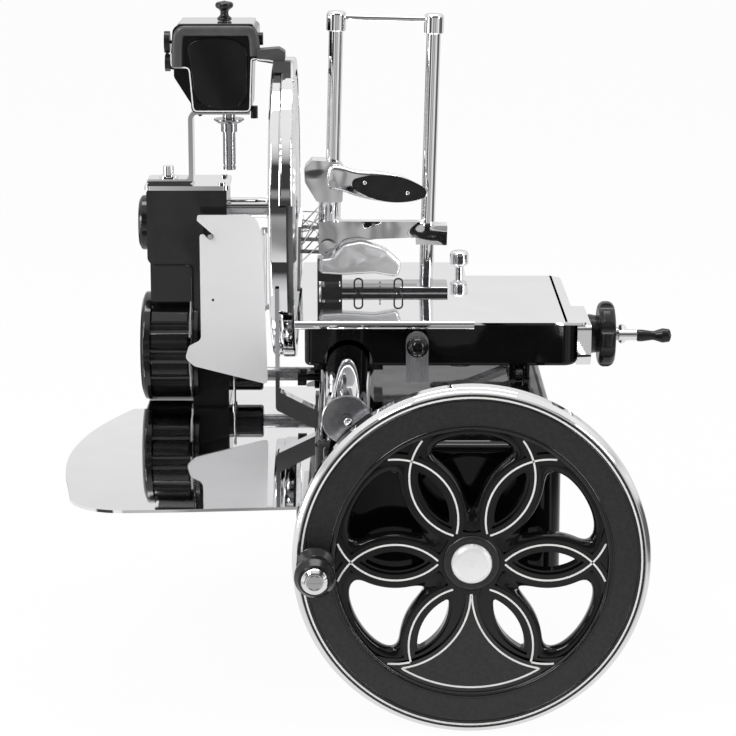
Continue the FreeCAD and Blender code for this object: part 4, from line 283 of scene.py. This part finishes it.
def flywheel_look():
    """Satin ring, hub and bell panel; deep gloss between them."""
    mat, tree, bsdf = new_material("flywheel_enamel")
    flat = (1, 0, 1)
    centre = distance_from(tree, (FLY_X, 0, FLY_Z), flat)
    ring = compare(tree, centre, "Value", "GREATER_THAN", SATIN_RING_R)
    hub = compare(tree, centre, "Value", "LESS_THAN", SATIN_HUB_R)
    outside = []
    for sign in (-1, 1):
        side = distance_from(tree, (FLY_X + sign * BELL_SIDE_X, 0, FLY_Z - BELL_SIDE_DROP), flat)
        outside.append(compare(tree, side, "Value", "GREATER_THAN", BELL_SIDE_R - BELL_MARGIN))
    axes = axes_of(tree)
    low = compare(tree, axes, "Z", "LESS_THAN", FLY_Z - BELL_PANEL_DROP)
    across = add(tree, "ShaderNodeMath", operation="ABSOLUTE")
    link(tree, compare(tree, axes, "X", "SUBTRACT", FLY_X), "Value", across, 0)
    narrow = compare(tree, across, "Value", "LESS_THAN", BELL_PANEL_HALF)
    bell = combined(tree, combined(tree, *outside), combined(tree, low, narrow))
    satin = combined(tree, combined(tree, ring, hub, "MAXIMUM"), bell, "MAXIMUM")

    where = position(tree)
    grain = map_range(tree, noise(tree, where, 320.0, 4.0), "Fac", NOISE_BAND)
    cloudy = mixed(tree, grain, "Result", (0.014, 0.014, 0.0145), (0.022, 0.022, 0.023))
    colour = mixed(tree, satin, "Value", (0.003, 0.003, 0.0033), (cloudy, "Result"))
    link(tree, colour, "Result", bsdf, "Base Color")
    rough = map_range(tree, satin, "Value", to_range=(0.06, 0.30))
    link(tree, rough, "Result", bsdf, "Roughness")
    fine = bump(tree, noise(tree, where, 500.0, 3.0), bsdf, 0.05, 0.0003)
    bump(tree, noise(tree, where, 16.0, 1.0), fine, 1.0, 0.0008)
    bsdf.inputs["IOR"].default_value = 1.45
    return mat


MATS = {
    "enamel": enamel("black_enamel", (0.004, 0.004, 0.0045), (0.006, 0.006, 0.0065), 0.06, 1.36, 0.03),
    "cast": enamel("black_casting_enamel", (0.010, 0.010, 0.0105), (0.016, 0.016, 0.017), 0.2, 1.5, 0.08),
    "gloss": enamel("black_gloss_bead", (0.003, 0.003, 0.0034), (0.005, 0.005, 0.0055), 0.05, 1.5, 0.02, 0.0),
    # Satin black: rougher than the enamel. Its grey colour is partly the casting's own satin finish and
    # partly painted sheen, the reflection that rounded gloss edges would catch.
    "satin": enamel("satin_black_with_painted_sheen", (0.055, 0.055, 0.056), (0.075, 0.075, 0.076), 0.35, 1.5, 0.1),
    "grip": enamel("black_resin", (0.010, 0.010, 0.010), (0.018, 0.018, 0.018), 0.25, 1.4, 0.08),
    "line": enamel("pale_line_enamel", (0.78, 0.78, 0.76), (0.66, 0.66, 0.64), 0.3, 1.45),
    "chrome": polished("chrome_plate", BRIGHT, BRIGHT_LOW, 0.035, scratch=0.003),
    "cast_chrome": polished("chromed_casting", BRIGHT, BRIGHT_LOW, 0.05, scratch=0.02, wave=0.004),
    # Chrome made darker than the bright chrome, with a low wave, for the press plate and the ribbed bar.
    "dark_chrome": polished("darker_chrome", (0.50, 0.50, 0.51), (0.30, 0.30, 0.31), 0.08, wave=0.002),
    "turned": polished(
        "turned_cap", (0.62, 0.62, 0.63), (0.20, 0.20, 0.21), 0.16, scratch=0.02, grain=400.0, wave=0.002
    ),
    "mirror_steel": polished("mirror_steel", BRIGHT, BRIGHT_LOW, 0.03, (1, 0.05, 1), 0.008, 260.0),
    "shaft_steel": polished(
        "ground_steel", (0.58, 0.58, 0.59), (0.42, 0.42, 0.43), 0.22, (1, 1, 0.1), 0.08, 500.0
    ),
    "bronze": polished("bronze", (0.55, 0.38, 0.16), (0.40, 0.27, 0.10), 0.3, scratch=0.1, grain=300.0),
    "sheet": polished(
        "satin_sheet", (0.93, 0.93, 0.935), (0.91, 0.91, 0.915), 0.30, scratch=0.002, grain=90.0, metal=0.38,
        vary=0.06,
    ),
}
# Finishes of the scene's own, for the pieces listed below.
plunger_look = polished(
    "plunger_steel", (0.50, 0.50, 0.51), (0.36, 0.36, 0.37), 0.2, (1, 1, 0.1), 0.08, 500.0
)
column_look = enamel(
    "column_enamel", (0.011, 0.011, 0.0115), (0.015, 0.015, 0.016), 0.09, 1.52, 0.04, 0.0016
)
# Pieces whose finish isn't the plain one of their slot.
OWN_LOOK = {
    "drive_column": column_look,
    "thickness_wheel": column_look,
    "upper_round_cover": column_look,
    # The sharpener's arm takes the satin black, so the grey on its top is partly painted sheen.
    "sharpener_arm": MATS["satin"],
    "flywheel": flywheel_look(),
    "sharpener_plunger": black_above(plunger_look, PLUNGER_KNOB_Z),
    "deflector": MATS["sheet"],
    "flywheel_hub_cap": MATS["sheet"],
    "release_lever": polished(
        "brushed_tongue", (0.34, 0.34, 0.35), (0.28, 0.28, 0.29), 0.28, (1, 1, 0.08), 0.03, 300.0, metal=0.6
    ),
    "release_knob": MATS["enamel"],
    "guide_rod_caps": MATS["turned"],
    "clamp_slider": polished("chromed_clamp_block", BRIGHT, BRIGHT_LOW, 0.05, scratch=0.02, wave=0.006),
    "pear_lever": polished(
        "cast_lever", (0.90, 0.90, 0.91), (0.84, 0.84, 0.85), 0.08, scratch=0.003, grain=60.0, wave=0.003,
        metal=0.5,
    ),
    "blade": polished(
        "honed_steel", (0.88, 0.88, 0.89), (0.80, 0.80, 0.81), 0.2, (1, 0.05, 1), 0.004, 200.0, metal=0.5
    ),
    "press_plate": MATS["dark_chrome"],
    "post_bar": MATS["dark_chrome"],
}
for entry in frame["record"]["subparts"]:
    shape = nodes[entry["node"]]
    shape.data.materials.clear()
    shape.data.materials.append(OWN_LOOK.get(entry["node"], MATS[entry["material_slot"]]))


# ---- mesh helpers ----------------------------------------------------------------------------
def mesh_object(name, verts, faces, material, body):
    """Piece of the scene, with soft shading between sharp edges, that rides on a body."""
    mesh = bpy.data.meshes.new(name)
    mesh.from_pydata(verts, [], faces)
    mesh.validate()
    mesh.update()
    bm = bmesh.new()
    bm.from_mesh(mesh)
    bmesh.ops.recalc_face_normals(bm, faces=bm.faces)
    bm.to_mesh(mesh)
    bm.free()
    piece = bpy.data.objects.new(name, mesh)
    bpy.context.scene.collection.objects.link(piece)
    piece.data.materials.append(MATS[material])
    for face in mesh.polygons:
        face.use_smooth = True
    mesh.set_sharp_from_angle(angle=math.radians(38))
    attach(piece, body)
    return piece


def joined(name, parts, material, body):
    """One piece made of several meshes."""
    verts, faces = [], []
    for part_verts, part_faces in parts:
        start = len(verts)
        verts += part_verts
        faces += [tuple(start + i for i in face) for face in part_faces]
    return mesh_object(name, verts, faces, material, body)


def turns(count):
    """Angles all round."""
    return [2 * math.pi * i / count for i in range(count)]


def run_at(points, i, closed=False):
    """Unit vector along a line of points at one of them."""
    last = len(points) - 1
    before = points[i - 1] if i > 0 or closed else points[i]
    after = points[(i + 1) % len(points)] if i < last or closed else points[i]
    return (Vector(after) - Vector(before)).normalized()


def ribbon(points, y_front, half, closed=False):
    """Flat painted line in the flywheel's plane, along points (x, z), standing proud of y_front."""
    count = len(points)
    verts, faces = [], []
    for i, (x, z) in enumerate(points):
        run = run_at(points, i, closed)
        side = Vector((-run.y, run.x)) * half
        for sign in (-1, 1):
            for y in (y_front - PAINT, y_front + PAINT):
                verts.append((x + sign * side.x, y, z + sign * side.y))
    for i in range(count if closed else count - 1):
        a, b = 4 * i, 4 * ((i + 1) % count)
        faces += [(a, b, b + 2, a + 2), (a + 1, a + 3, b + 3, b + 1)]
        faces += [(a, a + 1, b + 1, b), (a + 2, b + 2, b + 3, a + 3)]
    if not closed:
        last = 4 * (count - 1)
        faces += [(0, 2, 3, 1), (last, last + 1, last + 3, last + 2)]
    return verts, faces


def lofted(loops, wrap=False):
    """Skin over loops of equal length: the last joins the first with wrap, else both ends are capped."""
    count = len(loops[0])
    verts = [point for loop in loops for point in loop]
    faces = []
    for k in range(len(loops) if wrap else len(loops) - 1):
        a, b = k * count, (k + 1) % len(loops) * count
        for i in range(count):
            j = (i + 1) % count
            faces.append((a + i, a + j, b + j, b + i))
    if not wrap:
        faces.append(tuple(range(count)))
        faces.append(tuple(range((len(loops) - 1) * count, len(loops) * count)))
    return verts, faces


def tube(points, radius, sides=12, aside=(0.35, 1.0, 0.2)):
    """Round bar or wire along places in space; aside is any direction that the line never takes."""
    loops = []
    for i, point in enumerate(points):
        run = run_at(points, i)
        across = run.cross(Vector(aside)).normalized()
        up = run.cross(across)
        spokes = [math.cos(a) * across + math.sin(a) * up for a in turns(sides)]
        loops.append([tuple(Vector(point) + radius * spoke) for spoke in spokes])
    return lofted(loops)


def half_round(points, half_wide, proud, y_back):
    """Bar of half round section along a line (x, z) with rounded corners."""
    line = rounded(points, 0.009, 8)
    steps = 12
    loops = []
    for i, (x, z) in enumerate(line):
        run = run_at(line, i)
        loop = []
        for j in range(steps + 1):
            turn = math.pi * j / steps
            across = half_wide * math.cos(turn)
            loop.append((x + run.y * across, y_back - proud * math.sin(turn), z - run.x * across))
        loops.append(loop)
    return lofted(loops)


def pillow(outline, edge, y_edge, y_front, y_back, steps=6):
    """Plate with rounded edges: from the back over the edge to the front."""
    loops = []
    for i in range(2 * steps + 1):
        turn = math.pi / 2 * (1 - i / steps)
        reach = y_back - y_edge if turn > 0 else y_edge - y_front
        shrunk = inset(outline, edge * (1 - math.cos(turn)))
        loops.append([(x, y_edge + reach * math.sin(turn), z) for x, z in shrunk])
    return lofted(loops)


def dome(x, y, z, radius, proud, steps=5):
    """Small domed head that faces the front."""
    loops = []
    for i in range(steps):
        turn = math.pi / 2 * i / steps
        reach, front = radius * math.cos(turn), y - proud * math.sin(turn)
        loops.append([(x + reach * math.cos(a), front, z + reach * math.sin(a)) for a in turns(20)])
    return lofted(loops)


def rounded(points, radius, steps=6):
    """Open line (x, z) with its inner corners rounded."""
    out = [points[0]]
    for i in range(1, len(points) - 1):
        corner = Vector(points[i])
        before = Vector(points[i - 1]) - corner
        after = Vector(points[i + 1]) - corner
        cut = min(radius, before.length / 2, after.length / 2)
        start, end = corner + before.normalized() * cut, corner + after.normalized() * cut
        for j in range(steps + 1):
            t = j / steps
            place = start * (1 - t) ** 2 + corner * 2 * t * (1 - t) + end * t ** 2
            out.append((place.x, place.y))
    return out + [points[-1]]


def smoothed(points, rounds=3):
    """Closed outline with its corners cut again and again into a smooth curve."""
    for _ in range(rounds):
        cut = []
        for i, point in enumerate(points):
            after = points[(i + 1) % len(points)]
            for share in (0.25, 0.75):
                cut.append(tuple(a + share * (b - a) for a, b in zip(point, after)))
        points = cut
    return points


def inset(points, amount):
    """Closed outline moved inwards by an amount."""
    area = sum(p[0] * q[1] - q[0] * p[1] for p, q in zip(points, points[1:] + points[:1]))
    inward = amount if area > 0 else -amount
    moved = []
    for i, (x, z) in enumerate(points):
        run = run_at(points, i, True)
        moved.append((x - inward * run.y, z + inward * run.x))
    return moved


def leaning(x, z):
    """Turns a place with the posts, which lean about the left post's foot."""
    dx, dz = x - POST_LEFT_X, z - TABLE_Z
    return (
        POST_LEFT_X + dx * math.cos(POST_LEAN) + dz * math.sin(POST_LEAN),
        TABLE_Z - dx * math.sin(POST_LEAN) + dz * math.cos(POST_LEAN),
    )


# ---- painted lines of the flywheel -----------------------------------------------------------
def petal_angle(k):
    return math.radians(360 * k / PETALS)


def spot(reach, angle):
    """Place (x, z) at a reach from the axis, at an angle that runs from the top to the right."""
    return reach * math.sin(angle), reach * math.cos(angle)


def from_petal(x, z, k):
    """Distance of a place from a petal's centre."""
    cx, cz = spot(PETAL_CENTRE, petal_angle(k))
    return math.hypot(x - cx, z - cz)


def runs_where(points, test):
    """Splits a line of points into the runs whose points pass a test."""
    runs, run = [], []
    for x, z in points:
        if test(x, z):
            run.append((FLY_X + x, FLY_Z + z))
        else:
            runs.append(run)
            run = []
    runs.append(run)
    return [points for points in runs if len(points) > 3]


def line_shows(x, z, k):
    """Whether the arc about petal k is painted at a place: not under the bell or off the ribs."""
    if not LINE_FROM < math.hypot(x, z) < LINE_TO:
        return False
    neighbours = (SOLID_PETAL - 1, SOLID_PETAL + 1)
    if k == SOLID_PETAL:
        return any(from_petal(x, z, other) < PETAL_R for other in neighbours)
    return k not in neighbours or from_petal(x, z, SOLID_PETAL) >= PETAL_R


def petal_arcs(steps=360):
    """Lines on the rosette's ribs: arcs about the petal centres, from the hub out to the ring."""
    strips = []
    for k in range(PETALS):
        angle = petal_angle(k)
        cx, cz = spot(PETAL_CENTRE, angle)
        circle = []
        for i in range(steps + 1):
            dx, dz = spot(PETAL_R, 2 * math.pi * i / steps + angle)
            circle.append((cx + dx, cz + dz))
        for points in runs_where(circle, lambda x, z, k=k: line_shows(x, z, k)):
            strips.append(ribbon(points, FLY_LINE_Y, LINE_HALF))
    return strips


def bell_line(side_steps=240, foot_steps=60):
    """Line inside the bell shaped panel under the hub."""
    right = []
    for i in range(side_steps + 1):
        dx, dz = spot(BELL_SIDE_R, math.pi * i / side_steps)
        x, z = BELL_SIDE_X - dx, -BELL_SIDE_DROP + dz
        if z < -BELL_LINE_DROP and math.hypot(x, z) < BELL_RING_R and x > 0:
            right.append((x, z))
    end = math.atan2(right[-1][0], -right[-1][1])
    foot = []
    for i in range(1, foot_steps):
        dx, dz = spot(BELL_RING_R, end - 2 * end * i / foot_steps)
        foot.append((dx, -dz))
    left = [(-x, z) for x, z in reversed(right)]
    outline = [(FLY_X + x, FLY_Z + z) for x, z in right + foot + left]
    return ribbon(outline, FLY_LINE_Y, LINE_HALF, True)


def ring_line(radius):
    circle = [spot(radius, a) for a in turns(180)]
    return ribbon([(FLY_X + x, FLY_Z + z) for x, z in circle], FLY_FACE_Y, LINE_HALF, True)


joined("flywheel_lines", petal_arcs() + [bell_line(), ring_line(RING_LINE_R)], "line", "flywheel")


# ---- rounded linings of the flywheel's large openings, and beads on its ring -----------------
def soft_max(a, b, blend):
    near = max(blend - abs(a - b), 0) / blend
    return max(a, b) + near * near * blend / 4


def opening_edge(k, angle, grow, blend):
    """Place where the opening ends along an angle from its middle."""
    mx, mz = spot(OPENING_MIDDLE, petal_angle(k))

    def outside(x, z):
        """Above zero beyond the edge: inside petal k, outside its neighbours, between hub and ring."""
        worst = from_petal(x, z, k) - PETAL_R + PETAL_RIB + grow
        for other in (k - 1, k + 1):
            worst = soft_max(worst, PETAL_R - from_petal(x, z, other) + PETAL_RIB + grow, blend)
        rim = math.hypot(x, z)
        worst = soft_max(worst, rim - OPENING_RING + grow, blend)
        return soft_max(worst, OPENING_HUB + grow - rim, blend)

    low, high = 0.0, 0.08
    for _ in range(24):
        middle = (low + high) / 2
        dx, dz = spot(middle, angle)
        if outside(mx + dx, mz + dz) < 0:
            low = middle
        else:
            high = middle
    dx, dz = spot(low, angle)
    return mx + dx, mz + dz


def opening_lining(k):
    """Rounded edge of one opening, from the rib's crest down into the opening and back."""
    loops = []
    for grow, depth, blend in LINING:
        edge = [opening_edge(k, a, grow, blend) for a in turns(144)]
        loops.append([(FLY_X + x, FLY_FACE_Y + depth, FLY_Z + z) for x, z in edge])
    return lofted(loops, True)


def ring_bead(radius, half_wide, proud, steps=8):
    """Half round bead on the ring's face."""
    loops = []
    for around in turns(180):
        loop = []
        for j in range(steps + 1):
            turn = math.pi * j / steps
            x, z = spot(radius + half_wide * math.cos(turn), around)
            loop.append((FLY_X + x, FLY_FACE_Y + SUNK - proud * math.sin(turn), FLY_Z + z))
        loops.append(loop)
    return lofted(loops, True)


linings = [opening_lining(k) for k in range(PETALS) if k != SOLID_PETAL]
joined("flywheel_opening_linings", linings, "enamel", "flywheel")
joined("flywheel_beads", [ring_bead(*bead) for bead in BEADS], "gloss", "flywheel")


# ---- painted line of the sharpener -----------------------------------------------------------
HOUSING_LINE = [
    (-0.2689, 0.482), (-0.2689, 0.4662), (-0.2492, 0.4662), (-0.2452, 0.4178), (-0.1826, 0.4178),
    (-0.1804, 0.4758), (-0.1748, 0.4758),
]
ARM_LINE = [(-0.1738, 0.4758), (-0.1600, 0.4746), (-0.1520, 0.4722)]
sharpener_lines = [
    ribbon(rounded(HOUSING_LINE, 0.005), SHARP_FACE_Y, SHARP_LINE_HALF),
    ribbon(ARM_LINE, SHARP_ARM_Y, SHARP_LINE_HALF),
]
joined("sharpener_lines", sharpener_lines, "line", "base")


# ---- beads of the drive column ---------------------------------------------------------------
def column_beads():
    """Bead along the top of the column's face, and the arch beside the lobed wheel."""
    face = COLUMN_FACE_Y + SUNK
    top = [(COLUMN_LEFT_X, face, COLUMN_BEAD_Z), (COLUMN_RIGHT_X, face, COLUMN_BEAD_Z)]
    flat = rounded([(ARCH_LEFT_X, ARCH_TOP_Z), (ARCH_X, ARCH_TOP_Z), (ARCH_X, ARCH_FLAT_Z)], 0.009, 8)
    arch = [(x, face, z) for x, z in flat]
    for i in range(1, ARCH_STEPS + 1):
        z = ARCH_FLAT_Z - 0.0025 - i * ARCH_STEP
        arch.append((ARCH_X, CASE_Y - math.sqrt(CASE_R ** 2 - (z - CASE_Z) ** 2) + SUNK, z))
    return [tube(top, COLUMN_BEAD_R), tube(arch, ARCH_BEAD_R)]


joined("column_beads", column_beads(), "gloss", "base")


# ---- moulded frame and panel on the sharpener ------------------------------------------------
FRAME_LINE = [
    (-0.2624, 0.4668), (-0.2620, 0.4944), (-0.2596, 0.5066), (-0.1792, 0.5066), (-0.1768, 0.4955),
    (-0.1764, 0.4790),
]
PANEL = smoothed([
    (-0.2530, 0.4985), (-0.1850, 0.4985), (-0.1850, 0.4600), (-0.1862, 0.4212), (-0.2420, 0.4212),
    (-0.2475, 0.4700),
])
SHARP_BACK_Y = SHARP_FACE_Y + 0.0004
# The frame takes the satin black, so the grey along its rounded edge is partly painted sheen.
joined("sharpener_frame", [half_round(FRAME_LINE, 0.0058, 0.0040, SHARP_BACK_Y)], "satin", "base")
panel = pillow(PANEL, 0.0012, SHARP_FACE_Y - 0.0004, SHARP_FACE_Y - 0.0014, SHARP_BACK_Y)
joined("sharpener_panel", [panel], "enamel", "base")


# ---- rounded handle of the clamp and its rivets ----------------------------------------------
# Outline of the handle, from the left post and in height, before it leans with the posts.
HANDLE = [
    (-0.006, 0.327), (0.007, 0.327), (0.029, 0.319), (0.052, 0.315), (0.076, 0.3135), (0.099, 0.317),
    (0.107, 0.326), (0.088, 0.342), (0.057, 0.350), (0.028, 0.349), (0.010, 0.355), (-0.006, 0.355),
]
tang = smoothed([leaning(POST_LEFT_X + x, z) for x, z in HANDLE])
handle = pillow(tang, 0.0042, HANDLE_EDGE_Y, HANDLE_FRONT_Y, HANDLE_BACK_Y)
shell = joined("clamp_handle_shell", [handle], "cast_chrome", "clamp_handle")
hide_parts("clamp_handle")


def scale_spot(across, z):
    """Place on the dark scale, which is turned a little on the handle."""
    dx, dz = across - SCALE_MIDDLE[0], z - SCALE_MIDDLE[1]
    x = SCALE_MIDDLE[0] + dx * math.cos(SCALE_TURN) + dz * math.sin(SCALE_TURN)
    z = SCALE_MIDDLE[1] - dx * math.sin(SCALE_TURN) + dz * math.cos(SCALE_TURN)
    return leaning(POST_LEFT_X + x, z)


rivets = []
for across, height in RIVETS:
    x, z = scale_spot(across, height)
    rivets.append(dome(x, SCALE_FACE_Y, z, RIVET_R, 0.0008))
joined("scale_rivets", rivets, "chrome", "clamp_handle")


# ---- screw in the guide rod's front cap ------------------------------------------------------
cap_low, cap_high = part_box("guide_rod_caps")
cap_screw = [dome(SCREW_X, cap_low.y + 0.0002, SCREW_Z, SCREW_R, 0.0012)]
joined("guide_cap_screw", cap_screw, "chrome", "base")


# ---- plate along the right side of the carriage's top ----------------------------------------
def side_plate(lap=0.0200, wall=0.0012, corner=0.012):
    """Thin polished plate that closes the gap between the carriage's cover and its right wall."""
    cover_low, cover_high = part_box("carriage_cover")
    body_low, body_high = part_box("carriage_body")
    x0, x1 = cover_high.x - lap, body_high.x - wall
    y0, y1 = cover_low.y + 0.004, cover_high.y - 0.0005
    outline = [(x0, y0), (x1 - corner, y0), (x1, y0 + corner), (x1, y1 - corner), (x1 - corner, y1), (x0, y1)]
    return lofted([[(x, y, z) for x, y in outline] for z in (cover_high.z - 0.0012, cover_high.z + 0.0002)])


joined("carriage_side_plate", [side_plate()], "mirror_steel", "carriage")


# ---- wires behind the press plate ------------------------------------------------------------
PRESS_PLATE_X, PRESS_PLATE_Z, PRESS_PLATE_HIGH = POST_LEFT_X - 0.0345, 0.244, 0.052
NECK_X, NECK_Z, NECK_HIGH = POST_LEFT_X - 0.0120, 0.262, 0.046


def press_wires(count=11, radius=0.0007, pitch=0.006):
    """Fan of wires from the slider's neck to the toothed plate, crossing one another."""
    wires = []
    for i in range(count):
        plate_x, plate_z = leaning(PRESS_PLATE_X, PRESS_PLATE_Z + PRESS_PLATE_HIGH * (i / (count - 1)))
        neck_x, neck_z = leaning(NECK_X, NECK_Z + NECK_HIGH * (i * 3 % count) / (count - 1))
        plate_y = POST_Y - 0.030 + pitch * (i * 4 % count)
        ends = [(plate_x, plate_y, plate_z), (neck_x, POST_Y - 0.006, neck_z)]
        wires.append(tube(ends, radius, 8, aside=(0, 1, 0.1)))
    return wires


joined("press_plate_wires", press_wires(), "chrome", "meat_clamp")


# ---- trim on the ribbed bar ------------------------------------------------------------------
def bar_trim(steps=16):
    """Bright edges along the front of the ribbed bar, and the rounded foot of the left post."""
    pieces = []
    for z in (TABLE_Z + 0.0006, TABLE_Z + 0.0066):
        edge = [(POST_LEFT_X + 0.014, BAR_FRONT_Y, z), (BAR_RIGHT_X, BAR_FRONT_Y, z)]
        pieces.append(tube(edge, 0.0005, 8))
    arc = [math.pi * (1 - i / steps) for i in range(steps + 1)]
    outline = [(POST_LEFT_X + FOOT_HALF * math.cos(a), FOOT_BACK_Y - FOOT_PROUD * math.sin(a)) for a in arc]
    foot = [[(x, y, z) for x, y in outline] for z in (TABLE_Z + 0.0002, TABLE_Z + FOOT_HIGH)]
    return pieces + [lofted(foot)]


joined("bar_trim", bar_trim(), "chrome", "meat_table")


# ---- floor, light and camera -----------------------------------------------------------------
# What polished metal sees: bright and dark panels round the object. Each row is a direction, as
# its sine towards the right seen from above, and a brightness.
PANELS = (
    (-1.00, 0.90), (-0.82, 0.92), (-0.78, 0.06), (-0.50, 0.06), (-0.46, 0.95), (-0.34, 0.90), (-0.30, 0.50),
    (-0.20, 0.55), (-0.14, 0.30), (-0.08, 0.25), (0.02, 0.45), (0.28, 0.60), (0.34, 0.20), (0.44, 0.16),
    (0.48, 0.80), (0.70, 0.60), (0.76, 0.92), (0.88, 0.92), (0.93, 0.15), (1.00, 0.12),
)
# Brightness that polished metal sees at a height of the surround, as the sine of its elevation,
# behind the object and on the camera's side, where the studio is dark up to the top light.
HEIGHTS = (
    (-1.0, 0.6), (0.0, 0.60), (0.12, 0.80), (0.24, 0.88), (0.36, 0.60), (0.5, 0.85), (0.7, 1.0), (1.0, 0.9),
)
FRONT_HEIGHTS = (
    (-1.0, 0.4), (0.0, 0.35), (0.06, 0.06), (0.26, 0.05), (0.30, 0.30), (0.36, 0.30), (0.40, 0.05),
    (0.66, 0.05), (0.74, 0.55), (0.86, 0.92), (1.0, 0.92),
)
BEHIND_SHADE = 0.72             # even shade of the floor straight behind the object
NEAR_SHADE = (0.82, 0.82, 0.82)
FLOOR_HALF = 30.0
WHITE = (1, 1, 1, 1)
FLOOR_WHITE = 0.96              # share of the white that the camera sees; the rest keeps the shadow
# Softboxes: name, place, place that it faces, size and power in watts.
SOFTBOXES = (
    ("key", (-1.6, -1.8, 2.2), (0, 0, 0.15), (0.5, 1.6), 40),
    ("fill", (2.2, -1.2, 1.2), (0, 0, 0.15), (0.4, 1.6), 20),
    ("top", (0.0, 0.4, 2.6), (0, 0, 0.1), (2.0, 0.8), 30),
    ("edge", (-1.9, -0.5, 0.5), (0, 0, 0.2), (0.15, 1.2), 6),
)


def ramp_of(tree, rows, source, output):
    """Brightness read from rows of place, from -1 to 1, and value, blended between them."""
    ramp = tree.nodes.new("ShaderNodeValToRGB")
    points = ramp.color_ramp.elements
    while len(points) > 1:
        points.remove(points[-1])
    for i, (place, value) in enumerate(rows):
        share = (place + 1) / 2
        point = points[0] if i == 0 else points.new(share)
        point.position = share
        point.color = (value, value, value, 1)
    link(tree, map_range(tree, source, output, (-1.0, 1.0)), "Result", ramp, "Fac")
    return ramp


def flat_share(tree, axes, axis):
    """Share of one axis in a direction or place seen from above: its sine or cosine."""
    across = combined(tree, axes, axes, "MULTIPLY", "X", "X")
    deep = combined(tree, axes, axes, "MULTIPLY", "Y", "Y")
    root = add(tree, "ShaderNodeMath", operation="SQRT")
    link(tree, combined(tree, across, deep, "ADD"), "Value", root, 0)
    return combined(tree, axes, root, "DIVIDE", axis)


def even_behind(tree, axes, shade):
    """Panels with one even shade over them straight behind the object, so that plates stay even."""
    panels = ramp_of(tree, PANELS, flat_share(tree, axes, "X"), "Value")
    behind = map_range(tree, flat_share(tree, axes, "Y"), "Value", (0.82, 0.93), soft=True)
    return mixed(tree, behind, "Result", (panels, "Color"), shade)


def make_floor():
    """White floor that takes a soft shadow; polished metal sees its panels further out."""
    level = cad_low.z - 0.001
    corners = ((-1, -1), (1, -1), (1, 1), (-1, 1))
    mesh = bpy.data.meshes.new("studio_floor")
    mesh.from_pydata([(x * FLOOR_HALF, y * FLOOR_HALF, level) for x, y in corners], [], [(0, 1, 2, 3)])
    floor = bpy.data.objects.new("studio_floor", mesh)
    bpy.context.scene.collection.objects.link(floor)
    mat, tree, bsdf = new_material("studio_floor")
    bsdf.inputs["Base Color"].default_value = (0.9, 0.9, 0.9, 1)
    bsdf.inputs["Roughness"].default_value = 0.9

    outward = distance_from(tree, (0, 0, 0), (1, 1, 1))
    far = map_range(tree, outward, "Value", (0.55, 1.1), soft=True)
    panels = even_behind(tree, axes_of(tree), (BEHIND_SHADE,) * 3)
    seen = add(tree, "ShaderNodeEmission")
    link(tree, mixed(tree, far, "Result", NEAR_SHADE, (panels, "Result")), "Result", seen, "Color")
    white = add(tree, "ShaderNodeEmission", Color=WHITE, Strength=1.0)
    path = tree.nodes.new("ShaderNodeLightPath")
    camera_part = compare(tree, path, "Is Camera Ray", "MULTIPLY", FLOOR_WHITE)
    glossy = mixed_shaders(tree, path, "Is Glossy Ray", bsdf, seen)
    whole = mixed_shaders(tree, camera_part, "Value", glossy, white)
    link(tree, whole, "Shader", tree.nodes["Material Output"], "Surface")
    floor.data.materials.append(mat)


def make_world():
    """White for the camera; polished metal sees the panels and heights of the studio."""
    world = bpy.data.worlds.new("studio")
    bpy.context.scene.world = world
    world.use_nodes = True
    tree = world.node_tree
    soft = tree.nodes["Background"]
    soft.inputs["Color"].default_value = WHITE
    soft.inputs["Strength"].default_value = 0.45

    axes = axes_of(tree, "Generated")
    heights = ramp_of(tree, HEIGHTS, axes, "Z")
    front_heights = ramp_of(tree, FRONT_HEIGHTS, axes, "Z")
    front = map_range(tree, flat_share(tree, axes, "Y"), "Value", (-0.35, -0.6), soft=True)
    high = mixed(tree, front, "Result", (heights, "Color"), (front_heights, "Color"))
    low = even_behind(tree, axes, (heights, "Color"))
    above = map_range(tree, axes, "Z", (0.02, 0.10), soft=True)
    seen = tree.nodes.new("ShaderNodeBackground")
    link(tree, mixed(tree, above, "Result", (low, "Result"), (high, "Result")), "Result", seen, "Color")
    white = add(tree, "ShaderNodeBackground", Color=WHITE)
    path = tree.nodes.new("ShaderNodeLightPath")
    glossy = mixed_shaders(tree, path, "Is Glossy Ray", soft, seen)
    whole = mixed_shaders(tree, path, "Is Camera Ray", glossy, white)
    link(tree, whole, "Shader", tree.nodes["World Output"], "Surface")


def softbox(name, place, aim, size, power):
    light = bpy.data.lights.new(name, "AREA")
    light.shape = "RECTANGLE"
    light.size, light.size_y = size
    light.energy = power
    lamp = bpy.data.objects.new(name, light)
    lamp.location = place
    lamp.rotation_euler = (Vector(aim) - Vector(place)).to_track_quat("-Z", "Y").to_euler()
    bpy.context.scene.collection.objects.link(lamp)


def make_camera():
    """Camera that fits the photograph: 13 degrees down, from nearly three metres."""
    lens = bpy.data.cameras.new("camera")
    lens.lens = 127.17
    lens.sensor_width = 36.0
    lens.clip_start = 0.05
    lens.clip_end = 100.0
    camera = bpy.data.objects.new("camera", lens)
    camera.location = (-0.0517, -2.7609, 0.7887)
    camera.rotation_euler = (math.radians(77.0), 0, 0)
    bpy.context.scene.collection.objects.link(camera)
    bpy.context.scene.camera = camera


make_camera()
make_floor()
make_world()
for row in SOFTBOXES:
    softbox(*row)
bpy.context.scene.view_settings.view_transform = "Standard"
